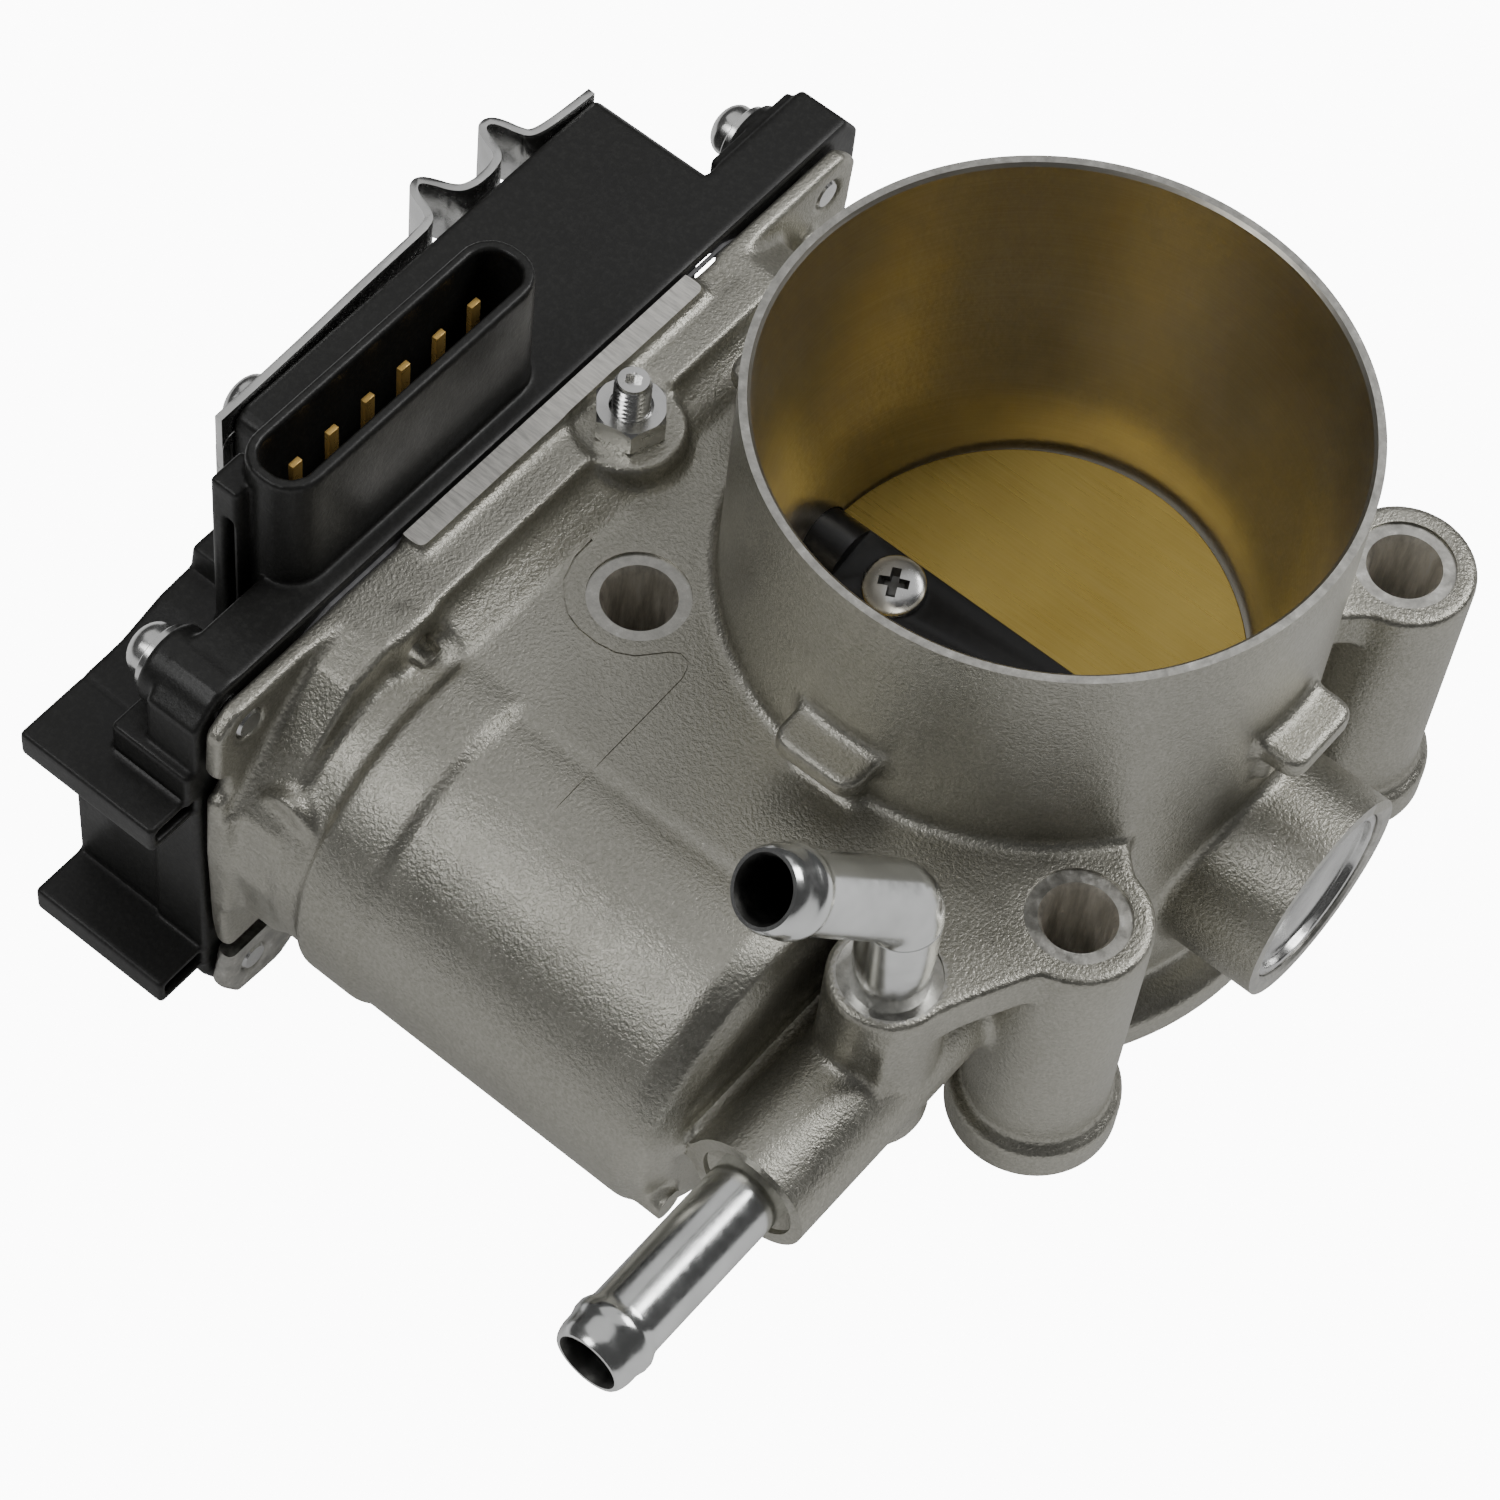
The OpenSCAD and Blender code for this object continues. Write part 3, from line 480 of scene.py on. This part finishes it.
COPPER = metal("copper", (0.72, 0.38, 0.22), 0.3)
NYLON = dull("gear_nylon", (0.70, 0.67, 0.58), 0.45)
MAGNET = dull("magnet", (0.08, 0.08, 0.085), 0.5)
RUBBER = dull("rubber", (0.02, 0.02, 0.02), 0.6)
SEALANT = dull("sealant", (0.20, 0.20, 0.205), 0.55)
CIRCUIT = dull("potting", (0.02, 0.04, 0.03), 0.4)

SLOT_MATERIAL = {
    "cast_aluminium": CAST, "bearing_steel": STEEL, "zinc_steel": ZINC, "plated_pipe": CHROME,
    "black_shaft": BLACK_SHAFT, "brass_plate": BRASS, "black_plastic": PLASTIC, "gear_nylon": NYLON,
    "copper": COPPER, "gold_pin": GOLD, "magnet": MAGNET, "seal_rubber": RUBBER, "sealant": SEALANT,
    "circuit": CIRCUIT}
for entry in frame["record"]["subparts"]:
    node = frame["nodes"][entry["node"]]
    node.data.materials.clear()
    node.data.materials.append(SLOT_MATERIAL[entry["material_slot"]])


# ---------------------------------------------------------------- housing
CORNERS = [(x * BOLT_P, y * BOLT_P) for x in (-1, 1) for y in (-1, 1)]
BORE_PROFILE = [(0, -2), (BORE_R, -2), (BORE_R, 32), (25.6, 36), (27.3, 44), (29, 56),
                (RIM_IN_R - 0.1, 63.5), (RIM_IN_R, RIM_Z - 0.35), (RIM_IN_R + 0.35, RIM_Z),
                (RIM_IN_R + 0.35, RIM_Z + 3), (0, RIM_Z + 3)]
BOLT_PROFILE = [(0, -2), (BOLT_R + 0.5, -2), (BOLT_R + 0.5, 0), (BOLT_R, 0.5), (BOLT_R, DECK_Z - 1.2),
                (BOLT_R + 0.45, DECK_Z - SPOT_DEEP), (SPOT_R, DECK_Z - SPOT_DEEP), (SPOT_R, DECK_Z + 2),
                (0, DECK_Z + 2)]
SHAFT_PROFILE = [(0, -45), (11.6, -45), (11.6, -35), (8, -35), (8, -30), (4.15, -30), (4.15, -28.4),
                 (6, -28.4), (6, -25.8), (4.15, -25.8), (4.15, 25.8), (6, 25.8), (6, 37.6), (10, 37.6),
                 (10, 40), (10.5, 40.5), (10.5, 43), (0, 43)]
INLET_PROFILE = [(0, -66), (5.4, -66), (5.4, -63.4), (4.2, -62.6), (4.0, -62.6), (4.0, -54), (2.8, -53.4),
                 (2.8, -41.5), (0, -41.5)]
OUTLET_PROFILE = [(0, 39), (5.2, 39), (5.2, 36.4), (4.0, 36.2), (4.0, 27), (2.8, 26.4), (2.8, 20), (0, 20)]


def housing_stock():
    """The CAD housing with metal left on wherever the real one is machined."""
    stock = [cad_mesh("housing"),
             rod("Z", 1, RIM_Z + 1.2, (0, 0, 0), RIM_R, 128),
             rod("Z", -1, 3, (0, 0, 0), 35, 128),
             box_mesh("s", JOINT_X - 0.6, RAIL_X, *RAIL_Y, 38, TOP_Z + 0.8),
             rod("X", 20, 41.4, (0, 0, SHAFT_Z), 12, 96),
             rod("Y", -65, -50, (PIPE_X, 0, PIPE_Z), 6.8)]
    stock += [rod("Z", -1, 3, (*c, 0), 9) for c in CORNERS]
    stock += [rod("Z", 1, DECK_Z - 0.1, (*c, 0), 5.5) for c in CORNERS]
    return stock + [rod("Z", 22, DECK_Z - 0.1, (PIPE_X, PIPE_Y, 0), 5.6)]


def housing():
    """A rough casting with foundry radii, then machined where the real one is."""
    me = rolled("housing_cast", housing_stock(), 0.36, 0.55, 0.25)
    # faces of the feet, rim, rail, plug boss and pipe boss
    cuts = [box_mesh("c", -80, 60, -80, 60, -3, 0),
            box_mesh("c", -40, 40, -40, 40, RIM_Z, RIM_Z + 4),
            box_mesh("c", -60, -44, -42, 5, TOP_Z, TOP_Z + 4),
            box_mesh("c", 40.3, 44, -20, 20, 0, 40),
            box_mesh("c", 10.4, 30, -70, -64, 5, 36)]
    cuts.append(lathe_mesh("c", BORE_PROFILE, n=160))
    cuts += [lathe_mesh("c", BOLT_PROFILE, (*c, 0), "Z", 64) for c in CORNERS]
    cuts.append(lathe_mesh("c", SHAFT_PROFILE, (0, 0, SHAFT_Z), "X"))
    # cover side: joint face, gear recess, motor hole, pin hole, end plate screws, cover screws
    cuts.append(box_mesh("c", -60, JOINT_X, -80, 40, -20, 50))
    cuts.append(prism_mesh("c", CAVITY, -60, FLOOR_X))
    motor_hole = [(0, -50), (CAN_R + 0.3, -50), (CAN_R + 0.3, 6.2), (0, 6.2)]
    cuts.append(lathe_mesh("c", motor_hole, (0, MOTOR_Y, MOTOR_Z), "X"))
    cuts.append(rod("X", -44, -37, (0, *INTER), 2, 32))
    for a in (82, 262):
        y, z = MOTOR_Y + 20 * math.cos(math.radians(a)), MOTOR_Z + 20 * math.sin(math.radians(a))
        cuts.append(rod("X", -44, -38, (0, y, z), 1.5, 24))
    cuts += [rod("X", -50, -44.5, (0, *ear), 1.8, 32) for ear in EARS]
    # coolant drillings with their counterbores
    cuts.append(lathe_mesh("c", INLET_PROFILE, (PIPE_X, 0, PIPE_Z), "Y", 64))
    cuts.append(lathe_mesh("c", OUTLET_PROFILE, (PIPE_X, PIPE_Y, 0), "Z", 64))
    # stop screw thread, and the mould line
    cuts.append(rod("Z", 33, 44, (STOP[0], STOP[1], 0), 2.0, 32))
    cuts.append(prism_mesh("c", ribbon(MOULD_LINE, 0.11, 0.05), DECK_Z - 0.22, DECK_Z + 0.5, "Z"))
    return carve(me, cuts)


def housing_faces(me):
    """Material of each face by where it is: 0 cast, 1 rail, 2 faced, 3 drilled or 4 turned."""
    n = len(me.polygons)
    c = np.empty(n * 3, np.float32)
    nor = np.empty(n * 3, np.float32)
    me.polygons.foreach_get("center", c)
    me.polygons.foreach_get("normal", nor)
    x, y, z = (c.reshape(-1, 3) / MM).T
    nx, ny, nz = nor.reshape(-1, 3).T
    idx = np.zeros(n, np.int32)
    r = np.hypot(x, y)
    idx[(z > TOP_Z - 0.05) & (x < RAIL_X + 0.2) & (nz > 0.9)] = 1
    idx[(z > RIM_Z - 0.05) & (nz > 0.9)] = 2
    idx[x < JOINT_X + 0.02] = 2
    idx[z < 0.02] = 2
    idx[(x > 37.5) & (np.hypot(y, z - SHAFT_Z) < 10.6)] = 2
    idx[(r < 30.3) & (nx * x + ny * y < -0.3 * r)] = 4
    for bx, by in CORNERS:
        d = np.hypot(x - bx, y - by)
        idx[(d < SPOT_R + 0.05) & (abs(z - DECK_Z + SPOT_DEEP) < 0.05)] = 2
        idx[d < BOLT_R + 0.5] = 3
    idx[(np.hypot(x - PIPE_X, y - PIPE_Y) < 5.4) & (z > 30) & (z < 37.2)] = 2
    me.polygons.foreach_set("material_index", idx)


def build_housing():
    me = housing()
    me.materials.clear()
    for m in (CAST, RAIL, FACED, HOLE, BORE):
        me.materials.append(m)
    housing_faces(me)
    shade(me, 34)
    obj = new_object("housing_cast", me)
    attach(obj, "body")
    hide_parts("housing")


build_housing()


# ---------------------------------------------------------------- cover
def build_cover():
    me = rolled("cover", [cad_mesh("gear_cover")], 0.26, 0.0, 0.25)
    piece("cover_shell", me, PLASTIC, replaces=["gear_cover"], angle=36)


build_cover()


# ---------------------------------------------------------------- screws
def pan_screw(origin, axis, r, h, shank, turn, washer=None, n=48):
    """A domed cross-recess screw; origin is the bearing face under the head, which points along the axis."""
    prof = [(0, -shank[1]), (shank[0] * 0.8, -shank[1]), (shank[0], -shank[1] + 0.4), (shank[0], 0)]
    if washer:
        wide, base = washer
        prof += [(wide - 0.1, 0), (wide, 0.12), (wide, base - 0.12), (wide - 0.12, base)]
    else:
        base = 0.0
    prof += [(r - 0.15, base), (r, base + 0.15), (r, base + h * 0.35)]
    for k in range(1, 9):
        a = math.radians(90 * k / 9)
        prof.append((r * (0.02 + 0.98 * math.cos(a)) if k < 9 else 0, base + h * (0.35 + 0.65 * math.sin(a))))
    prof.append((0, base + h))
    cuts = []
    for a in (turn, turn + 90):
        w, l, top, bottom = 0.17 * r, 0.62 * r, base + h + 1, base + h * 0.3
        c, s = math.cos(math.radians(a)), math.sin(math.radians(a))
        pts = []
        for z, k, q in ((bottom, 0.5, 0.7), (top, 1.1, 1.05)):
            for x, y in ((-l * k, -w * q), (l * k, -w * q), (l * k, w * q), (-l * k, w * q)):
                pts.append((x * c - y * s, x * s + y * c, z))
        sides = [(0, 1, 5, 4), (1, 2, 6, 5), (2, 3, 7, 6), (3, 0, 4, 7)]
        cut = mesh_from("c", pts, [(0, 1, 2, 3), (7, 6, 5, 4)] + sides)
        fix_normals(cut)
        cuts.append(cut)
    me = carve(lathe_mesh("screw", prof, n=n), cuts)
    # faces inside the cross recess take material 1, the dark grey that is painted shade
    for face in me.polygons:
        c = face.center / MM
        reach = min(1.0, math.hypot(c.x, c.y) / r)
        dome = base + h * (0.35 + 0.65 * math.sqrt(1 - reach * reach))
        face.material_index = int(reach < 0.75 and base + 0.25 * h < c.z < dome - 0.05 * h)
    rot = Vector((0, 0, 1)).rotation_difference(Vector(axis)).to_matrix().to_4x4()
    me.transform(Matrix.Translation(Vector(origin) * MM) @ rot)
    return me


def joined(meshes):
    bm = bmesh.new()
    for me in meshes:
        bm.from_mesh(me)
    out = bpy.data.meshes.new("joined")
    bm.to_mesh(out)
    bm.free()
    return out


ZINC_SCREW = [ZINC, RECESS_PAINTED_SHADE]
cover_heads = [pan_screw((EDGE_X - BOSS_H, y, z), (-1, 0, 0), 2.95, 3.05, (1.78, 11.1), 17 * k, (3.7, 0.8))
               for k, (y, z) in enumerate(EARS)]
piece("cover_screw_set", joined(cover_heads), ZINC_SCREW, "body", ["cover_screws"], 38)
clip_heads = [pan_screw((BOX_X - CLIP_T, y, z), (-1, 0, 0), 3.2, 2.5, (1.5, 2.5), 31 * k)
              for k, (y, z) in enumerate(CLIP_SCREWS)]
piece("clip_screw_set", joined(clip_heads), ZINC_SCREW, "body", ["plate_clip_screws"], 38)

rest = Matrix.Translation((0, 0, SHAFT_Z * MM)) @ Matrix.Rotation(math.radians(REST_A), 4, "X")
plate_heads = joined([pan_screw((x, 0, SHAFT_FLAT), (0, 0, 1), 3.45, 1.5, (1.7, 5.6), 25, n=64)
                      for x in PLATE_SCREW_X])
plate_heads.transform(rest)
piece("plate_screw_set", plate_heads, ZINC_SCREW, "throttle", ["plate_screws"], 38)


# ---------------------------------------------------------------- throttle plate and shaft
def build_plate():
    """An oval disc whose edge is ground to the bore at the closed angle."""
    n, t, r = 160, PLATE_T, BORE_R - PLATE_GAP
    tilt = math.tan(math.radians(CLOSED_A))
    rings = []
    for z, inset in ((-t, 0.12), (-t + 0.12, 0.0), (t - 0.12, 0.0), (t, 0.12)):
        ring = []
        for i in range(n):
            a = 2 * math.pi * i / n
            # a cylinder tilted about X meets the height z in a shifted oval
            x = (r - inset) * math.cos(a)
            y = (r - inset) * math.sin(a) / math.cos(math.radians(CLOSED_A)) + z * tilt
            ring.append((max(-24.6, min(24.6, x)), y, z))
        rings.append(ring)
    verts = [v for ring in rings for v in ring]
    faces = [tuple(range(n)), tuple(range(4 * n - 1, 3 * n - 1, -1))]
    for k in range(3):
        faces += band(k * n, (k + 1) * n, n)
    me = mesh_from("plate", verts, faces)
    fix_normals(me)
    me = carve(me, [rod("Z", -3, 3, (x, 0, 0), 1.75, 32) for x in PLATE_SCREW_X])
    me.transform(rest)
    piece("butterfly_plate", me, BRASS, "throttle", ["throttle_plate"], 25)


build_plate()


def build_shaft():
    me = rod("X", -55.5, 36.9, (0, 0, 0), SHAFT_R, 96, chamfer=0.4)
    cuts = [box_mesh("c", -20.5, 20.5, -5, 5, SHAFT_FLAT, 6),
            box_mesh("c", -24.6, 24.6, -5, 5, -PLATE_T, PLATE_T)]
    cuts += [rod("Z", -5, 5, (x, 0, 0), 1.75, 32) for x in PLATE_SCREW_X]
    me = beveled(carve(me, cuts), 0.15, 2, 35)
    me.transform(rest)
    piece("shaft_bar", me, BLACK_SHAFT, "throttle", ["throttle_shaft"])


build_shaft()


# ---------------------------------------------------------------- coolant pipes
def tube(stations, n=64):
    """A closed pipe through (centre, direction, outer radius, inner radius); its inside is material 1."""
    verts, outer, inner = [], [], []
    turns = [2 * math.pi * i / n for i in range(n)]
    for c, d, ro, ri in stations:
        d = Vector(d).normalized()
        side = Vector((1, 0, 0))
        if abs(d.z) < 0.999:
            side = Vector((-0.61, 0.79, 0.05)).cross(d).normalized()
        side = (side - d * side.dot(d)).normalized()
        up = d.cross(side)
        for bag, r in ((outer, ro), (inner, ri)):
            bag.append(len(verts))
            verts += [Vector(c) + (side * math.cos(a) + up * math.sin(a)) * r for a in turns]
    faces = []
    for bag in (outer, inner):
        for a, b in zip(bag, bag[1:]):
            faces += band(a, b, n)
    for k in (0, -1):
        faces += band(outer[k], inner[k], n)
    me = mesh_from("pipe", verts, faces)
    wall = n * (len(stations) - 1)
    inside = [int(wall <= i < 2 * wall) for i in range(len(faces))]
    me.polygons.foreach_set("material_index", np.array(inside, np.int32))
    fix_normals(me)
    return me


def bead(start):
    """The last stretch of a pipe with its swaged hose bead, as (distance, outer radius, inner radius)."""
    end = start + BEAD_L
    swage = [(0, 4.0), (0.5, 4.06), (1.1, 4.35), (1.5, 4.5), (2.3, 4.5), (2.7, 4.38), (3.2, 4.25)]
    return [(start + d, r, PIPE_IN) for d, r in swage] + [
        (end - 1.4, 4.22, PIPE_IN), (end - 0.8, 4.12, 3.05), (end - 0.3, 3.95, 3.15), (end, 3.75, 3.35)]


def build_pipes():
    # material 1, the pipes' inner wall, is the near-black of painted shade
    plated = [CHROME, PIPE_INSIDE_PAINTED_SHADE]
    rows = [(STRAIGHT_START, PIPE_R, PIPE_IN), (STRAIGHT_START + 2, PIPE_R, PIPE_IN)] + bead(STRAIGHT_BEAD)
    straight = tube([((PIPE_X, -d, PIPE_Z), (0, -1, 0), ro, ri) for d, ro, ri in rows])
    piece("hose_pipe_straight", straight, plated, "body", ["coolant_pipe_straight"], 30)

    heading, turn = math.radians(ELBOW_HEADING), math.radians(ELBOW_TURN)
    hx, hy = math.cos(heading), math.sin(heading)
    rows = [((PIPE_X, PIPE_Y, z), (0, 0, 1), PIPE_R, PIPE_IN) for z in (27.0, 30.0, 40.0)]
    bend_z = ELBOW_Z - ELBOW_R * math.tan(turn / 2)
    for k in range(17):
        a = turn * k / 16
        out, up = ELBOW_R * (1 - math.cos(a)), ELBOW_R * math.sin(a)
        rows.append(((PIPE_X + hx * out, PIPE_Y + hy * out, bend_z + up),
                     (hx * math.sin(a), hy * math.sin(a), math.cos(a)), PIPE_R, PIPE_IN))
    way = (hx * math.sin(turn), hy * math.sin(turn), math.cos(turn))
    rows += [((PIPE_X + way[0] * d, PIPE_Y + way[1] * d, ELBOW_Z + way[2] * d), way, ro, ri)
             for d, ro, ri in bead(ELBOW_L - BEAD_L)]
    piece("hose_pipe_elbow", tube(rows), plated, "body", ["coolant_pipe_elbow"], 30)


build_pipes()

# ---------------------------------------------------------------- stop screw and nut
def threaded(r_in, r_out, pitch, z0, z1, n=48):
    """A rod whose surface is one helical ridge."""
    rows = int((z1 - z0) / (pitch / 8))
    verts = []
    for k in range(rows + 1):
        z = z0 + (z1 - z0) * k / rows
        fade = min(1.0, (z1 - z) / 0.8)
        for i in range(n):
            ph = (z / pitch - i / n) % 1.0
            r = r_in + (r_out - r_in) * max(0.0, 1 - abs(ph - 0.5) * 2.6) * fade
            a = 2 * math.pi * i / n
            verts.append((r * math.cos(a), r * math.sin(a), z))
    faces = [tuple(range(n)), tuple(range((rows + 1) * n - 1, rows * n - 1, -1))]
    for k in range(rows):
        faces += band(k * n, (k + 1) * n, n)
    me = mesh_from("thread", verts, faces)
    fix_normals(me)
    return me


stud = threaded(1.62, 2.0, 0.7, 33.2, 47.8)
stud = carve(stud, [rod("Z", 46.9, 49, (0, 0, 0), 0.95, 6)])
stud.transform(Matrix.Translation((STOP[0] * MM, STOP[1] * MM, 0)))
piece("stop_stud", stud, ZINC, replaces=["stop_screw"], angle=45)


def build_nut():
    r = 4.04
    corners = [math.radians(60 * k + 10) for k in range(6)]
    me = prism_mesh("nut", [(r * math.cos(a), r * math.sin(a)) for a in corners], 0, 3.2, "Z")
    rounded = [(0, -1), (3.7, -1), (3.7, 0), (4.2, 0.5), (4.2, 2.7), (3.6, 3.2), (3.6, 4), (0, 4)]
    thread = [(0, -1), (2.3, -1), (2.3, 0), (2.0, 0.4), (2.0, 2.8), (2.3, 3.2), (2.3, 4), (0, 4)]
    me = carve(me, [lathe_mesh("c", rounded)], "INTERSECT")
    me = carve(me, [lathe_mesh("c", thread, n=64)])
    me.transform(Matrix.Translation((STOP[0] * MM, STOP[1] * MM, STOP[2] * MM)))
    piece("stop_hex_nut", me, ZINC, replaces=["stop_nut"])


build_nut()

# ---------------------------------------------------------------- spring plate on the cover
WAVE = [(-42.4, -70), (-30, -70.3), (-20, -70.7), (-11.5, -70.9), (-10.3, -71), (-9.2, -71.4),
        (-8.5, -72.6), (-8.1, -73.8), (-7.7, -74.7), (-7.1, -75.3), (-6.4, -75.4), (-5.8, -74.9),
        (-5.2, -73.7), (-4.7, -72.5), (-3.9, -71.5), (-2.6, -71), (-1.1, -70.9), (0.2, -71),
        (1.5, -71.4), (2.2, -72.3), (2.6, -73.5), (3.1, -74.7), (3.7, -75.3), (4.5, -75.3),
        (5.1, -74.7), (5.5, -73.6), (5.8, -72.3), (6.3, -71.2), (7.4, -70.7), (9.2, -70.4),
        (11.7, -70.2), (15, -70)]


def smooth_line(points, per=5):
    """Catmull-Rom points through a line, as (x, y) vectors."""
    p = [Vector((x, y)) for y, x in points]
    p = [p[0] * 2 - p[1]] + p + [p[-1] * 2 - p[-2]]
    out = []
    for a, b, c, d in zip(p, p[1:], p[2:], p[3:]):
        for k in range(per):
            t = k / per
            square, cube = 2 * a - 5 * b + 4 * c - d, 3 * b - a - 3 * c + d
            out.append(0.5 * (2 * b + (c - a) * t + square * t * t + cube * t ** 3))
    return out + [p[-2]]


def build_spring_plate():
    strip = prism_mesh("s", ribbon(smooth_line(WAVE), 0.45, 0.45), 34.0, 42.6, "Z")
    (y0, z0), (y1, z1), r = (-42.4, 29.0), (15.0, 39.0), 1.5
    flat = []
    for y, z, start in ((y1 - r, z1 - r, 0), (y0 + r, z1 - r, 90), (y0 + r, z0 + r, 180),
                        (y1 - r, z0 + r, 270)):
        for a in range(start, start + 91, 15):
            flat.append((y + r * math.cos(math.radians(a)), z + r * math.sin(math.radians(a))))
    face_x = BOX_X - CLIP_T
    me = prism_mesh("f", flat, face_x, BOX_X)
    me = carve(me, [rod("X", BOX_X - 2, BOX_X + 1, (0, *hole), 1.6, 32) for hole in CLIP_SCREWS])
    me = carve(me, [strip], "UNION")
    me = carve(me, [rod("X", BOX_X - 6, face_x, (0, *hole), 3.5, 48) for hole in CLIP_SCREWS])
    piece("spring_plate", beveled(me, 0.14, 2, 35), ZINC, "body", ["cover_spring_plate"], 40)


build_spring_plate()

# ---------------------------------------------------------------- smaller pieces from their CAD shapes
for node, name, mat, slot, width in (("connector_pins", "pin_row", GOLD, "gold_pin", 0.12),
                                     ("bearing_plug", "shaft_plug", ZINC, "zinc_steel", 0.3)):
    piece(name, beveled(cad_mesh(node), width), mat, replaces=[node])

# ---------------------------------------------------------------- floor and light
def ground(name, z, emission):
    """A wide pale floor."""
    me = bpy.data.meshes.new(name)
    me.from_pydata([(-6, -6, z), (6, -6, z), (6, 6, z), (-6, 6, z)], [], [(0, 1, 2, 3)])
    obj = new_object(name, me)
    pale = Nodes(name + "_white", rough=0.9, color=(0.9, 0.9, 0.9), spec=0.2)
    pale.bsdf.inputs["Emission Color"].default_value = (1, 1, 1, 1)
    pale.bsdf.inputs["Emission Strength"].default_value = emission
    me.materials.append(pale.mat)
    return obj


# the upper floor lights the part from below, the lower one is the overexposed white that the camera sees
ground("floor", -0.016, 0.12).visible_camera = False
seen = ground("floor_seen", -0.017, 11.0)
seen.visible_diffuse = seen.visible_glossy = False

world = bpy.data.worlds.new("studio")
scene.world = world
world.use_nodes = True
world.node_tree.nodes["Background"].inputs["Color"].default_value = (1, 1, 1, 1)
world.node_tree.nodes["Background"].inputs["Strength"].default_value = 0.07


def softbox(name, azimuth, elevation, distance, size, radiance):
    """A square soft light that faces the object, with its brightness per area."""
    light = bpy.data.lights.new(name, "AREA")
    light.shape, light.size, light.energy = "SQUARE", size, radiance * math.pi * size * size
    obj = bpy.data.objects.new(name, light)
    scene.collection.objects.link(obj)
    a, e = math.radians(azimuth), math.radians(elevation)
    way = Vector((math.cos(a) * math.cos(e), math.sin(a) * math.cos(e), math.sin(e)))
    obj.location = way * distance + Vector((0, 0, 0.02))
    obj.rotation_euler = (-way).to_track_quat("-Z", "Y").to_euler()


softbox("key", -118, 48, 0.9, 0.34, 4.0)
softbox("overhead", 140, 70, 1.2, 1.4, 0.50)
softbox("side", 62, 50, 0.9, 0.42, 6.0)
